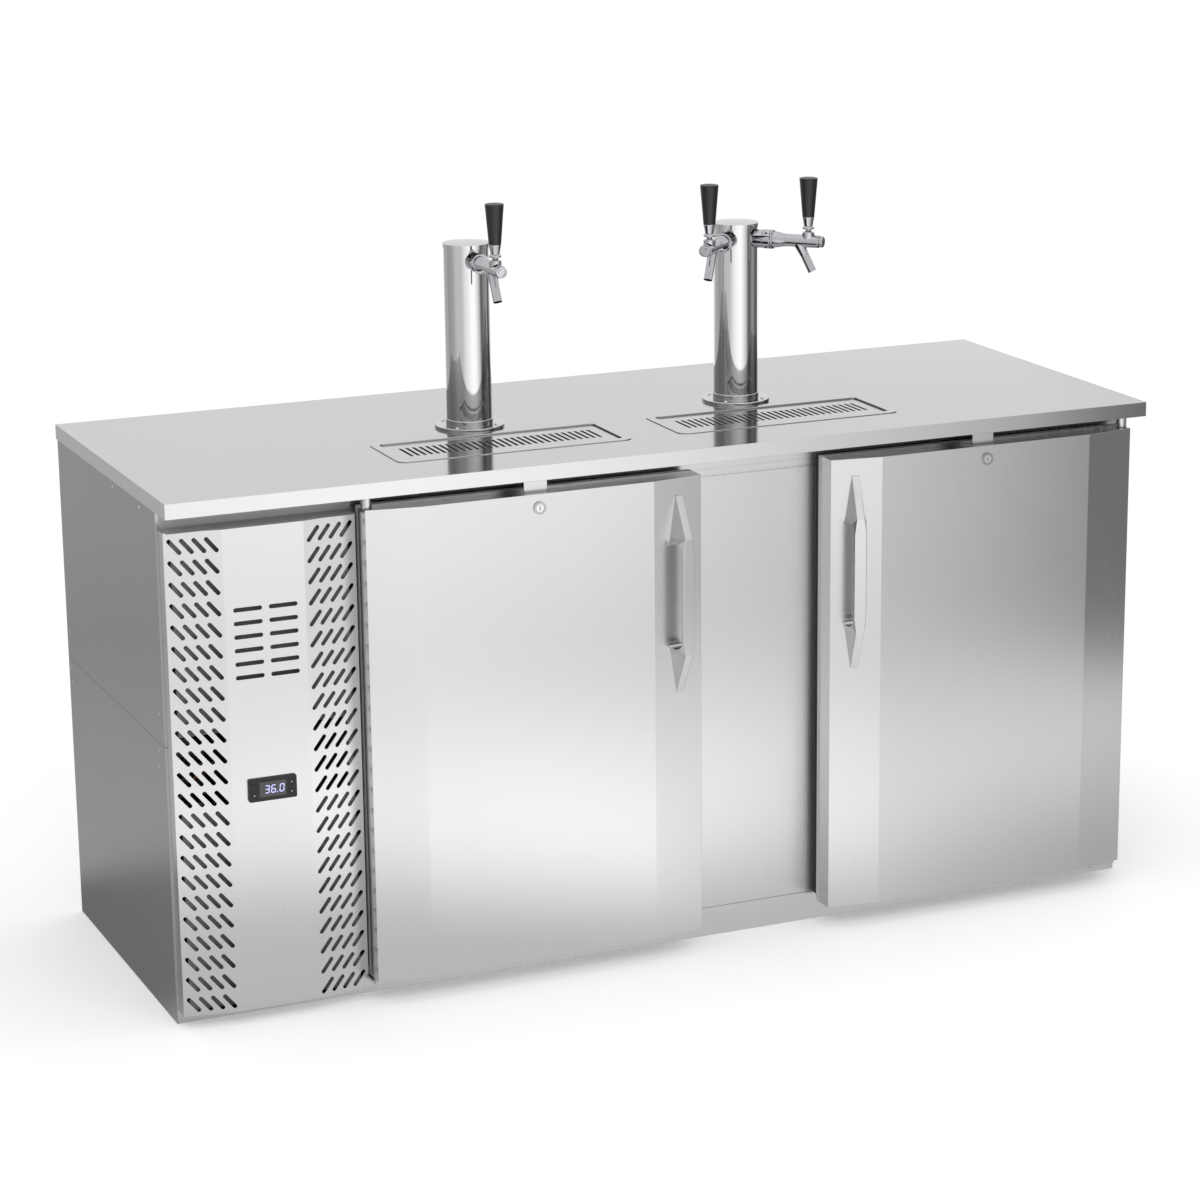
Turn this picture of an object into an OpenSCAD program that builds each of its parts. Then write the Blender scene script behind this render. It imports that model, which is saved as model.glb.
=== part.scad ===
// Draft beer cooler: a two-door keg cabinet with two draft towers, three faucets and two drip trays.
// Millimetres, +Z up, the front faces -Y. The origin is on the floor under the worktop's centre.

/* [Worktop] */
// Width of the worktop
worktop_w = 1753; // [1720:1:1850]
// Depth of the worktop
worktop_d = 646; // [630:1:700]
// Height of the worktop above the floor
worktop_z = 872; // [860:1:920]
// Height of the folded worktop edge
worktop_edge = 25; // [22:1:32]
// Width of the worktop's underside that rests on the cabinet walls
worktop_seat = 10; // [6:1:16]
// Thickness of the stainless sheet
sheet = 1.2; // [1:0.1:1.6]

/* [Cabinet] */
// Set-back of the cabinet front from the worktop's front edge
front_setback = 63; // [60:1:70]
// Set-back of the cabinet sides from the worktop's side edges
side_setback = 1.5; // [1.5:0.5:5]
// Set-back of the cabinet back from the worktop's back edge
back_setback = 3; // [3:1:10]
// Height of the base pan, whose front face is the sill
sill_h = 50; // [44:1:54]
// Height of the front top rail
rail_h = 26; // [24:1:32]
// Distance of the mullion's upper seam below the rail
mullion_seam_drop = 12; // [8:1:20]
// Width of the mullion's seams
mullion_seam = 1.5; // [1:0.1:2]
// Thickness of the insulated walls and of the front frame
wall = 48; // [42:1:54]
// Thickness of the threshold behind the sill
threshold_t = 22; // [16:1:30]
// Height of the seam between the two side panels
side_seam_z = 464.5; // [440:0.5:490]
// Gap at the seam between the two side panels
side_seam_gap = 0.8; // [0.4:0.1:0.9]
// Width of the side panels' folded front flange
side_flange = 12; // [8:1:16]
// Distances of the side panels' top screws behind the cabinet front
top_screws_in = [84, 238];
// Drop of the side panels' top screws below the cabinet's top
top_screw_drop = 11.5; // [8:0.5:18]
// Distance of the side panels' edge screws from the cabinet's front and back
edge_screw_in = 21; // [18:1:30]
// Distance of the lower panel's front screws from the cabinet front
low_screw_in = 34; // [26:1:40]
// Height of the upper panel's edge screws over the seam
screw_over_seam = 49.5; // [40:0.5:60]
// Drops of the lower panel's screws below the seam
screws_under_seam = [14, 41];
// Radius of the gas line port in the back wall
gas_port_r = 12.5; // [8:0.5:20]
// Distance of the gas line port from the cabinet's right side
gas_port_in = 175; // [120:1:240]
// Height of the gas line port above the floor
gas_port_z = 640; // [560:1:700]

/* [Doors] */
// Width of each door
door_w = 580; // [570:1:588]
// Height of the doors' lower edge above the floor
door_z = 40.4; // [38:0.2:44]
// Gap between the doors' upper edge and the worktop
door_top_gap = 18.1; // [17:0.1:22]
// Gap between the grille and the left door
door_gap = 5.3; // [4.5:0.1:8]
// Margin between the right door and the cabinet's right side
door_margin = 30.2; // [26:0.2:36]
// Distance of the door skin's back edge from the cabinet front
door_stand = 30.4; // [28:0.2:33]
// Depth of the door's side faces
door_side = 33.8; // [31:0.2:36]
// Step from the door's side edge forward to its centre flat
door_rise = 13.4; // [9:0.2:17]
// Width of the door's sloped bands
door_band = 89.5; // [84:0.5:96]
// Overlap of the door over the frame of its opening
door_lap = 30; // [28:1:34]
// Thickness of the plastic frame on the door's back
liner_t = 12; // [10:0.5:14]
// Inset of the liner's raised panel from the door's edge
liner_panel_in = 44; // [40:1:60]
// Distance of the liner's raised panel from the cabinet front
liner_panel_gap = 3; // [2:0.5:6]
// Inset of the gasket from the door's edge
gasket_in = 6; // [6:0.5:8]
// Width of the gasket
gasket_w = 18; // [14:0.5:20]
// Gap between the closed gasket and the cabinet front
gasket_gap = 0.6; // [0.6:0.1:1]
// Thickness of the gasket's base on the door
gasket_base_t = 6; // [5:0.2:7]
// Height of the groove between the gasket's base and its bead
gasket_gap_h = 3; // [2:0.2:4]
// Depth of the groove that parts the gasket's bead from its base
gasket_groove = 3; // [1:0.5:4]

/* [Door handles] */
// Distance of the handle's centre line from the door's free edge
handle_in = 42.5; // [40:0.5:48]
// Height of the handle's middle above the floor
handle_z = 633.7; // [600:0.5:650]
// Length of the handle
handle_l = 332.5; // [320:0.5:345]
// Length of the handle between the tops of its end ramps
handle_ramp_l = 196; // [190:1:204]
// Length of the handle's wide middle
handle_mid_l = 144; // [136:1:150]
// Width of the handle's foot at its ends
handle_end_w = 13; // [11:0.5:16]
// Width of the handle's foot at the tops of its ramps
handle_ramp_w = 34; // [30:0.5:38]
// Width of the handle's foot in its middle
handle_mid_w = 50; // [46:0.5:56]
// Width of the handle's crest in its middle
handle_crest_w = 20; // [16:0.5:24]
// Height of the handle over the door
handle_h = 30.5; // [28:0.5:34]
// Height of the handle at its very ends
handle_tip_h = 1.5; // [1:0.1:3]
// Length of the finger slot under the handle
finger_l = 180; // [170:1:188]
// Height of the finger slot under the handle
finger_h = 26; // [22:0.5:27]
// Radius of the finger slot's round ends
finger_r = 14.5; // [13.5:0.1:16]

/* [Hinges and locks] */
// Inset of the hinge axis from the door's outer edge
hinge_in = 8; // [7.5:0.5:9]
// Radius of the hinge pins
hinge_pin_r = 4; // [3.5:0.1:4.2]
// Depth of the hinge pins in the door
hinge_pin_depth = 20; // [14:1:30]
// Thickness of the hinge bracket plates
bracket_t = 4; // [3:0.5:5]
// Width of the hinge brackets
bracket_w = 24; // [20:1:26]
// Radius of the hinge brackets' round ends and pin collars
bracket_r = 9; // [7:0.5:10]
// Height of the upright leg of the lower hinge brackets
bracket_leg = 28; // [22:1:30]
// Running gap between a door and its hinge collars
hinge_gap = 0.4; // [0.3:0.1:0.8]
// Running clearance on the radius of turning parts
run_clear = 0.05; // [0.03:0.01:0.08]
// Distance of the lock below the door's upper edge
lock_drop = 22.9; // [20:0.1:26]
// Radius of the lock's bezel
lock_bezel_r = 10.8; // [10:0.1:12.5]
// Thickness of the lock's bezel
lock_bezel_t = 2; // [1:0.2:3]
// Radius of the lock's sleeve
lock_sleeve_r = 9; // [8.5:0.1:9.5]
// Radius of the lock's plug
lock_plug_r = 6.5; // [5.5:0.1:7]
// Width of the keyway
keyway_w = 1.6; // [1:0.1:2.2]
// Height of the keyway
keyway_h = 7; // [5:0.5:9]
// Distance of the lock cam behind the door's front flat
lock_cam_in = 24; // [22:0.5:26]
// Thickness of the lock cam
lock_cam_t = 3; // [2:0.5:4]
// Width of the lock cam
lock_cam_w = 12; // [9:0.5:13]
// Reach of the lock cam from the plug's axis
lock_cam_l = 34; // [31:0.5:36]
// Clearance round the swinging cam
cam_clear = 2; // [1.5:0.5:3]
// Width of the strike tab under the worktop
strike_w = 40; // [34:1:48]
// Drop of the strike tab below the worktop
strike_drop = 17.5; // [16:0.1:17.6]
// Thickness of the strike
strike_t = 2; // [1.5:0.1:3]
// Distance of the strike behind the worktop's front edge
strike_in = 1.5; // [1:0.5:4]
// Depth of the strike's leg under the worktop
strike_leg = 22; // [18:1:30]
// Radius of the strike tab's lower corners
strike_r = 3; // [1:0.5:6]

/* [Grille] */
// Width of the grille
grille_w = 312.3; // [306:0.1:318]
// Inset of the grille from the cabinet's left side
grille_in = 3; // [2:0.5:6]
// Depth of the grille's side returns
grille_side = 30; // [26:0.5:34]
// Step from the grille's edge forward to its centre flat
grille_rise = 14.5; // [10:0.5:18]
// Width of the grille's sloped bands
grille_band = 90; // [88:0.5:94]
// Height of the grille's lower edge above the floor
grille_z = 22; // [14:1:30]
// Gap between the grille's upper edge and the worktop
grille_top_gap = 28.6; // [26:0.2:34]
// Width of the air slots
slot_w = 7; // [5:0.1:7.5]
// Distance between the end centres of a leaning slot
slot_l = 24; // [22:0.5:26]
// Lean of the slots from the vertical
slot_lean = 40; // [25:0.5:44]
// Sideways pitch of the slots
slot_pitch = 19.3; // [17.5:0.1:19.6]
// Slots side by side in each band
slot_columns = 4; // [2:1:4]
// Height pitch of the slot rows
slot_row_pitch = 34.3; // [32:0.1:34.5]
// Rows of slots
slot_rows = 23; // [10:1:23]
// Height of the middle of the slot rows above the floor
slot_z = 418.4; // [414:0.2:424]
// Distance between the end centres of a level slot in the centre flat
level_slot_l = 40; // [30:1:44]
// Sideways pitch of the level slots
level_slot_pitch = 58; // [54:1:64]
// Height pitch of the level slots
level_row_pitch = 22; // [16:1:26]
// Rows of level slots
level_rows = 6; // [2:1:8]
// Height of the middle of the level slots above the floor
level_slot_z = 632; // [600:1:660]

/* [Controller] */
// Width of the controller's bezel
bezel_w = 79.5; // [76:0.5:86]
// Height of the controller's bezel
bezel_h = 37.5; // [35:0.5:42]
// Thickness of the controller's bezel
bezel_t = 4; // [3:0.5:6]
// Radius of the bezel's corners
bezel_r = 3; // [1:0.5:5]
// Height of the controller's middle above the floor
bezel_z = 389.8; // [370:0.5:420]
// Rim of the bezel round the controller's box
bezel_rim = 4; // [3:0.5:5]
// Depth of the controller's box behind the grille
controller_depth = 55; // [40:1:60]
// Width of the display window
window_w = 44; // [38:0.5:46]
// Height of the display window
window_h = 25; // [20:0.5:26]
// Thickness of the display window
window_t = 1.5; // [1:0.1:2]
// Radius of the controller's keys
key_r = 3; // [2.5:0.1:3.5]
// Sideways distance of the keys from the bezel's middle
key_x = 31; // [29:0.5:32]
// Height distance of the keys from the bezel's middle
key_z = 8; // [6:0.5:10]
// Height of a key over the bezel
key_proud = 1; // [0.8:0.1:1.5]
// Travel of a key
key_travel = 0.6; // [0.4:0.1:0.7]
// Clearance round a key
key_clear = 0.3; // [0.2:0.05:0.4]

/* [Drip trays] */
// Width of the drip tray's flange
tray_w = 412; // [400:1:430]
// Depth of the drip tray's flange
tray_d = 156; // [150:1:160]
// Radius of the flange's corners
tray_r = 18; // [12:1:24]
// Width of the flange round the well
tray_flange = 13; // [11:0.5:15]
// Distance of the tray's middle behind the worktop's front edge
tray_in = 189; // [180:1:196]
// Depth of the tray below the worktop
tray_depth = 28; // [22:1:32]
// Gap at the welded seams of the pan
weld_gap = 0.05; // [0.03:0.01:0.1]
// Width of the ledge that the grate rests on
tray_ledge = 8; // [6:0.5:10]
// Height of the worktop over the grate
grate_drop = 1.4; // [0.6:0.1:2]
// Thickness of the grate
grate_t = 2; // [1.5:0.1:3]
// Clearance round the grate
grate_clear = 1.5; // [1:0.1:2]
// Clearance round the tray in its cut-outs
tray_clear = 2; // [1:0.5:3]
// Slots in the grate
grate_slots = 30; // [20:1:30]
// Pitch of the grate's slots
grate_pitch = 11.48; // [10:0.02:11.6]
// Width of the grate's slots
grate_slot_w = 5.4; // [4:0.1:6]
// Distance between the end centres of the grate's slots
grate_slot_l = 57; // [50:1:70]
// Radius of the tray's drain tail
drain_r = 7; // [6:0.5:9]
// Length of the drain tail below the ceiling
drain_tail = 14; // [10:1:20]
// Wall of tubes and tails
tube_wall = 1.5; // [1:0.1:2]

/* [Towers] */
// Distance of each tower from the worktop's middle
tower_x = 248; // [240:1:260]
// Distance of the towers behind the worktop's front edge
tower_in = 332; // [326:1:345]
// Radius of the tower column
column_r = 38.1; // [37:0.1:40]
// Wall of the tower column
column_wall = 1.5; // [1:0.1:2]
// Radius of the tower base's flange
flange_r = 58.5; // [56:0.5:60]
// Thickness of the tower base's flange
flange_t = 5; // [4:0.5:7]
// Height of the collar over the worktop
collar_h = 14.5; // [12:0.5:18]
// Wall of the collar round the column
collar_wall = 1.5; // [1:0.1:2.5]
// Radius of the rounding at the collar's foot and top
collar_round = 1.2; // [0.6:0.1:1.4]
// Height of the tower's rim over the worktop
tower_h = 310.5; // [290:0.5:330]
// Height of the cap's lip
cap_lip = 7; // [5:0.5:9]
// Wall of the cap's lip
cap_wall = 1; // [0.8:0.1:2]
// Crown of the cap over its rim
cap_crown = 2; // [1:0.1:4]
// Radius of the passage for the beer lines
passage_r = 30; // [24:1:32]
// Fit clearance on the radius of pushed-on pieces
fit_clear = 0.15; // [0.1:0.05:0.3]
// Screws in each tower base
flange_screws = 4; // [3:1:6]
// Radius of the circle of the flange screws
flange_screw_ring = 49.5; // [47.5:0.5:51]
// Radius of screw shafts
screw_r = 2; // [1.5:0.1:2.2]
// Radius of screw heads
screw_head_r = 3.6; // [3:0.1:4.2]
// Height of the flange screws' heads
screw_head_h = 2; // [1.5:0.1:3]
// Height of the side panel screws' heads
panel_head_h = 1.2; // [0.8:0.1:1.4]
// Length of the side panel screws behind the panel
panel_screw_l = 7; // [4:0.5:10]

/* [Faucets] */
// Height of the faucets' axis over the worktop
tap_rise = 284; // [275:0.5:290]
// Angle of the right tower's faucets to either side
tap_split = 45; // [40:1:50]
// Radius of the shank
shank_r = 11.1; // [9:0.1:12]
// Radius of the shank's bore
shank_bore_r = 3.2; // [2.5:0.1:4]
// Distance of the shank's inner end from the column's axis
shank_s = 19; // [16:0.5:22]
// Radius of the shank's hose tail
tail_r = 6; // [5:0.1:7]
// Length of the shank's hose tail
tail_l = 11; // [8:0.5:11]
// Radius of the lock nut inside the column
lock_nut_r = 15; // [13:0.5:16]
// Thickness of the lock nut
lock_nut_t = 9; // [6:0.5:11]
// Edge break on turned pieces
edge_break = 1.2; // [0.8:0.1:1.5]
// Radius of the saddle collar on the column
saddle_r = 15.5; // [14:0.1:16.2]
// Length of the saddle collar in front of the column
saddle_l = 14; // [12:0.5:16]
// Length of the coupling nut
nut_l = 18; // [16:0.5:20]
// Radius of the coupling nut
nut_r = 16.4; // [16:0.1:18]
// Radius of the thread under the coupling nut
thread_r = 13; // [12.5:0.1:13.4]
// Width of the front lip inside the coupling nut
nut_lip = 4; // [3:0.5:5]
// Radius of the faucet's neck in the nut's lip
neck_r = 11.8; // [11:0.1:12]
// Radius of the spanner holes in the nut
spanner_r = 2.2; // [1.5:0.1:2.5]
// Spanner holes round the nut
spanner_holes = 4; // [2:1:6]
// Radius of the faucet behind its flare
flare_r = 14; // [13:0.1:15]
// Length of the faucet's flare
flare_l = 25; // [20:0.5:30]
// Radius of the faucet's barrel
barrel_r = 10.75; // [10:0.05:11.2]
// Length of the faucet in front of the nut
faucet_l = 89; // [84:0.5:94]
// Radius of the end cap
end_cap_r = 9.75; // [9:0.05:10]
// Length of the end cap
end_cap_l = 7; // [5:0.5:9]
// Radius of the end cap's rounding
end_cap_round = 2; // [1:0.1:3]
// Radius of the groove round the end cap's button
button_r = 5.1; // [4.5:0.1:5.5]
// Width of that groove
button_gap = 1.4; // [1:0.1:1.8]
// Depth of that groove
button_h = 1.2; // [0.8:0.1:2]
// Distance of the spout's root in front of the nut
spout_s = 43; // [40:0.5:46]
// Lean of the spout from the vertical
spout_lean = 27; // [22:0.5:30]
// Length of the spout from the barrel's axis
spout_l = 58; // [52:0.5:62]
// Outer radius of the spout
spout_r = 7.5; // [7:0.1:8]
// Bore radius of the spout
spout_bore_r = 5.2; // [4.5:0.1:5.6]
// Radius of the spout's root
spout_root_r = 10.4; // [9:0.1:10.6]
// Length of the spout's root taper
spout_root_l = 26; // [20:0.5:30]

/* [Tap levers] */
// Distance of the lever in front of the nut
lever_s = 61.5; // [58:0.5:64]
// Height of the lever's ball over the barrel's axis
ball_z = 12; // [11:0.5:13]
// Radius of the lever's ball
ball_r = 8; // [7.5:0.1:8.3]
// Clearance round the lever's ball
ball_clear = 0.3; // [0.2:0.05:0.4]
// Radius of the bonnet cup
bonnet_r = 10.35; // [10:0.05:11]
// Height of the bonnet's rim over the ball's centre
bonnet_rim = 3.5; // [2.5:0.1:3.8]
// Radius of the lever's stem
stem_r = 4.5; // [3.5:0.1:5]
// Height of the lever's ring over the ball's centre
ring_z = 9; // [8.8:0.1:11]
// Height of the lever's ring
ring_h = 4; // [3:0.5:5]
// Height of the ferrule's top over the ball's centre
ferrule_z = 30; // [26:0.5:34]
// Radius of the ferrule's waist
ferrule_waist_r = 7.4; // [6:0.1:8]
// Radius of the ferrule's top
ferrule_r = 10.2; // [9:0.1:11]
// Height of the tap handle
tap_handle_h = 68; // [60:0.5:76]
// Radius of the tap handle's top
tap_handle_r = 15.6; // [14:0.1:17]
// Radius of the rounding at the tap handle's top
tap_handle_round = 1.6; // [1:0.1:3]
// Crown of the tap handle's top
tap_handle_crown = 1.5; // [1:0.1:3]

/* [Cooling unit] */
// Gap between the grille's back plane and the condenser
condenser_gap = 15; // [10:1:30]
// Width of the condenser
condenser_w = 260; // [240:1:270]
// Height of the condenser
condenser_h = 320; // [300:1:360]
// Thickness of a coil's fin pack
coil_t = 50; // [44:1:56]
// Pitch of the coils' fins
fin_pitch = 20; // [16:1:26]
// Thickness of a drawn fin
fin_t = 4; // [3:0.5:6]
// Radius of the coils' tubes
coil_tube_r = 5; // [4:0.5:6]
// Pitch of the coils' tubes
coil_tube_pitch = 40; // [30:1:50]
// Depth of a fan housing
housing_d = 44; // [40:1:50]
// Radius of the condenser fan's opening
condenser_fan_r = 112; // [100:1:118]
// Radius of the evaporator fan's opening
evaporator_fan_r = 78; // [70:1:90]
// Clearance round the fan blades
fan_clear = 5; // [4:0.5:8]
// Width of the motor's bracket arms
arm_w = 14; // [10:1:20]
// Arms of each motor bracket
arm_count = 3; // [3:1:4]
// Radius of the fan motors
motor_r = 26; // [22:1:30]
// Length of the fan motors
motor_l = 40; // [30:1:44]
// Radius of the fan shafts
shaft_r = 3; // [2.5:0.1:4]
// Radius of a fan's hub
hub_r = 20; // [16:1:24]
// Length of a fan's hub
hub_l = 20; // [16:1:24]
// Distance of a fan's hub from its motor plate
hub_gap = 8; // [6:0.5:10]
// Blades of each fan
blade_count = 5; // [3:1:6]
// Thickness of a fan blade
blade_t = 2; // [1.5:0.1:3]
// Pitch angle of the fan blades
blade_pitch = 28; // [20:1:35]
// Width of a fan blade
blade_w = 70; // [50:1:80]
// Distance of the evaporator from the partition
evaporator_in = 10; // [6:1:30]
// Width of the evaporator
evaporator_w = 400; // [380:1:430]
// Height of the evaporator
evaporator_h = 220; // [205:1:230]
// Distance of the evaporator below the ceiling
evaporator_drop = 10; // [6:1:20]
// Radius of the compressor's shell
compressor_r = 82; // [76:1:90]
// Height of the compressor's shell
compressor_h = 190; // [170:1:210]
// Rounding of the compressor's shell
compressor_round = 45; // [30:1:55]
// Height of the compressor's rubber feet
foot_h = 16; // [12:1:22]
// Radius of the compressor's rubber feet
foot_r = 13; // [10:1:16]
// Distance of the compressor in front of the cabinet back
compressor_in = 180; // [170:1:200]
// Sideways distance of the pipe ports from the compressor's axis
port_x = 35; // [30:1:40]
// Height of the pipe ports over the compressor
port_h = 12; // [8:1:20]
// Radius of the pipe ports
port_r = 9; // [8:0.5:11]
// Radius of the refrigerant pipes
pipe_r = 6; // [5:0.5:7]
// Bend radius of the refrigerant pipes
pipe_bend = 22; // [16:1:26]
// Height of the discharge pipe over the condenser
pipe_over = 70; // [55:1:90]
// Distance of the condenser's inlet from its outer side
inlet_in = 30; // [24:1:40]
// Pitch of the rear vent's slots
vent_pitch = 24; // [18:1:30]
// Slots in the rear vent
vent_slots = 10; // [6:1:11]
// Height of the middle of the rear vent above the floor
vent_z = 270; // [260:1:300]
// Distance between the end centres of the rear vent's slots
vent_slot_l = 200; // [150:1:220]
// Radius of the cord gland's flange
gland_r = 12; // [10:0.5:14]
// Thickness of the cord gland's flange
gland_t = 2.6; // [2:0.1:3]
// Radius of the cord gland's body in the rear panel
gland_body_r = 9; // [7:0.5:10]
// Radius of the cord gland's passage
gland_bore_r = 4.5; // [3:0.5:6]
// Length of the cord gland's body
gland_l = 16; // [10:1:24]
// Height of the cord gland above the floor
gland_z = 110; // [90:1:150]
// Distance of the cord gland from the partition
gland_in = 40; // [30:1:60]

/* [Hidden] */
$fn = 64;
eps = 1;

// Cabinet planes
cab_x = worktop_w / 2 - side_setback;
cab_front = -worktop_d / 2 + front_setback;
cab_back = worktop_d / 2 - back_setback;
cab_top = worktop_z - worktop_edge;
rail_z = cab_top - rail_h;
sheet_z = worktop_z - sheet;

// Grille and doors from left to right
grille_x0 = -cab_x + grille_in;
grille_x1 = grille_x0 + grille_w;
grille_top = cab_top - grille_top_gap;
grille_edge_y = cab_front - grille_side;
grille_front_y = grille_edge_y - grille_rise;
grille_angle = atan(grille_rise / grille_band);
grille_band_l = norm([grille_band, grille_rise]);
grille_mid_x = (grille_x0 + grille_x1) / 2;
left_x = grille_x1 + door_gap;
right_x = cab_x - door_margin;
door_top = cab_top - door_top_gap;
door_h = door_top - door_z;
door_back_y = cab_front - door_stand;
door_edge_y = door_back_y - door_side;
door_front_y = door_edge_y - door_rise;
door_angle = atan(door_rise / door_band);
gasket_t = door_stand - liner_t - gasket_gap;

// Openings, walls and frame
partition_x1 = left_x + door_lap;
partition_x0 = partition_x1 - wall;
right_wall_x = right_x - door_lap;
mullion_x0 = left_x + door_w - door_lap;
mullion_x1 = right_x - door_w + door_lap;
opening_z0 = door_z + door_lap;
opening_z1 = door_top - door_lap;
inner_front = cab_front + wall;
inner_back = cab_back - wall;

// Locks in the door's own frame, whose X starts at the hinge edge
lock_x = door_w / 2;
lock_z = door_top - lock_drop;
cam_y = door_front_y + lock_cam_in;
hinge_y = door_back_y - door_side / 2;
hinge_ends = [left_x + hinge_in, right_x - hinge_in];
lock_places = [left_x + lock_x, right_x - lock_x];

// Trays and towers
tray_y = -worktop_d / 2 + tray_in;
tower_y = -worktop_d / 2 + tower_in;
tray_floor = worktop_z - tray_depth;
core_z = tray_floor - tray_clear;
well_w = tray_w - 2 * tray_flange;
well_d = tray_d - 2 * tray_flange;
well_r = tray_r / 2;
ledge_z = worktop_z - grate_drop - grate_t;
grate_w = well_w - 2 * (sheet + grate_clear);
grate_d = well_d - 2 * (sheet + grate_clear);
pan_w = grate_w - 2 * tray_ledge;
pan_d = grate_d - 2 * tray_ledge;
tower_places = [-tower_x, tower_x];
column_z = worktop_z + flange_t / 2;
rim_z = worktop_z + tower_h;

// Faucets: tower place and facing of the left, centre and right tap
tap_z = worktop_z + tap_rise;
taps = [[-tower_x, 0], [tower_x, -tap_split], [tower_x, tap_split]];
saddle_s = column_r + saddle_l;
nut_s = saddle_s + nut_l;
thread_end_s = saddle_s + (nut_l - nut_lip) / 2;
tap_steps = 8;

// Cooling unit
condenser_y = cab_front + condenser_gap;
condenser_x = (-cab_x + partition_x0) / 2;
condenser_mid_z = sheet + condenser_h / 2;
evaporator_x = partition_x1 + evaporator_in + evaporator_w / 2;
evaporator_top = opening_z1 - evaporator_drop;
evaporator_mid_z = evaporator_top - evaporator_h / 2;
compressor_x = condenser_x;
compressor_y = cab_back - compressor_in;
compressor_top = sheet + foot_h + compressor_h;
suction_y = inner_back - coil_t / 2;

// Side panel screws as [distance behind the cabinet front, height]
rear_screws = cab_back - cab_front - edge_screw_in;
panel_screws = concat(
    [for (s = top_screws_in) [s, cab_top - top_screw_drop]],
    [for (s = [edge_screw_in, rear_screws]) [s, side_seam_z + screw_over_seam]],
    [for (s = [low_screw_in, rear_screws], z = screws_under_seam) [s, side_seam_z - z]]
);

// Points of a quarter turn round a centre, from one angle to another
function arc(centre, r, from, to, steps = tap_steps) =
    [for (i = [0:steps]) let (a = from + (to - from) * i / steps) centre + r * [cos(a), sin(a)]];

// Smooth step between 0 and 1
function ease(t) = t * t * (3 - 2 * t);

// Faceted plan outline of a door or the grille
function facet_plan(w, back, edge, front, band) =
    [[0, back], [0, edge], [band, front], [w - band, front], [w, edge], [w, back]];

// Inside of a faceted sheet-metal shell
function facet_inside(w, back, edge, front, band) =
    [for (p = facet_plan(w - 2 * sheet, back, edge + sheet, front + sheet, band - sheet)) p + [sheet, 0]];

module box(from, to) {
    translate(from) cube(to - from);
}

module rounded_rect(w, h, r) {
    square([w - 2 * r, h], center = true);
    square([w, h - 2 * r], center = true);
    for (x = [-1, 1], y = [-1, 1]) translate([x * (w / 2 - r), y * (h / 2 - r)]) circle(r);
}

module obround(l, w) {
    square([l, w], center = true);
    for (x = [-1, 1]) translate([x * l / 2, 0]) circle(d = w);
}

module rod(r, h) {
    rotate([90, 0, 0]) cylinder(r = r, h = h);
}

// Straight plate in the XZ plane whose outer face looks to -Y
module upright_plate(t) {
    rotate([90, 0, 0]) translate([0, 0, -t]) linear_extrude(t) children();
}

module at_left_door() {
    translate([left_x, 0, 0]) children();
}

module at_right_door() {
    translate([right_x, 0, 0]) mirror([1, 0, 0]) children();
}

module at_tap(i) {
    translate([taps[i][0], tower_y, tap_z]) rotate([0, 0, taps[i][1]]) children();
}

// A place on a faucet's axis, with Z along the axis
module at_reach(s) {
    translate([0, -s, 0]) rotate([90, 0, 0]) children();
}

// Cabinet

module base_pan() {
    color("gainsboro") difference() {
        box([-cab_x + sheet, cab_front, 0], [cab_x, cab_back, sill_h]);
        box([-cab_x + 2 * sheet, cab_front + sheet, sheet], [cab_x - sheet, cab_back - sheet, sill_h + eps]);
    }
}

module insulated_floor() {
    color("lightgrey") {
        box([partition_x0, cab_front + sheet, sheet], [cab_x - sheet, cab_back - sheet, sill_h]);
        difference() {
            box([partition_x1, cab_front, sill_h], [right_wall_x, cab_front + threshold_t, opening_z0]);
            box([mullion_x0, cab_front - eps, sill_h], [mullion_x1, inner_front, rail_z]);
        }
    }
}

module insulated_back() {
    color("lightgrey") difference() {
        box([partition_x1, inner_back, sill_h], [right_wall_x, cab_back, cab_top]);
        translate([cab_x - gas_port_in, cab_back + eps, gas_port_z]) rod(gas_port_r, wall + 2 * eps);
    }
}

module rail_space() {
    box([-cab_x - eps, cab_front - eps, rail_z], [cab_x + eps, inner_front, cab_top + eps]);
}

module insulated_right_wall() {
    color("lightgrey") difference() {
        box([right_wall_x, cab_front, sill_h], [cab_x, cab_back, cab_top]);
        rail_space();
    }
}

module insulated_partition() {
    color("lightgrey") difference() {
        box([partition_x0, cab_front, sill_h], [partition_x1, cab_back, cab_top]);
        rail_space();
        translate([partition_x0 - eps, suction_y, evaporator_mid_z]) rotate([0, 90, 0])
            cylinder(r = pipe_r + fit_clear, h = wall + 2 * eps);
    }
}

module insulated_ceiling() {
    color("lightgrey") difference() {
        box([partition_x1, inner_front, opening_z1], [right_wall_x, inner_back, core_z]);
        for (x = tower_places) translate([x, 0, opening_z1 - eps]) {
            translate([0, tray_y, 0]) cylinder(r = drain_r + tray_clear, h = core_z - opening_z1 + 2 * eps);
            translate([0, tower_y, 0]) cylinder(r = passage_r, h = core_z - opening_z1 + 2 * eps);
        }
    }
}

// Board that backs the worktop, cut out for the trays and the beer lines
module worktop_core() {
    well = [well_w, well_d] + 2 * tray_clear * [1, 1];
    color("burlywood") difference() {
        box([partition_x1, inner_front, core_z], [right_wall_x, inner_back, sheet_z]);
        for (x = tower_places) translate([x, 0, core_z - eps]) linear_extrude(sheet_z - core_z + 2 * eps) {
            translate([0, tray_y]) square(well, center = true);
            translate([0, tower_y]) circle(passage_r);
        }
    }
}

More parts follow.
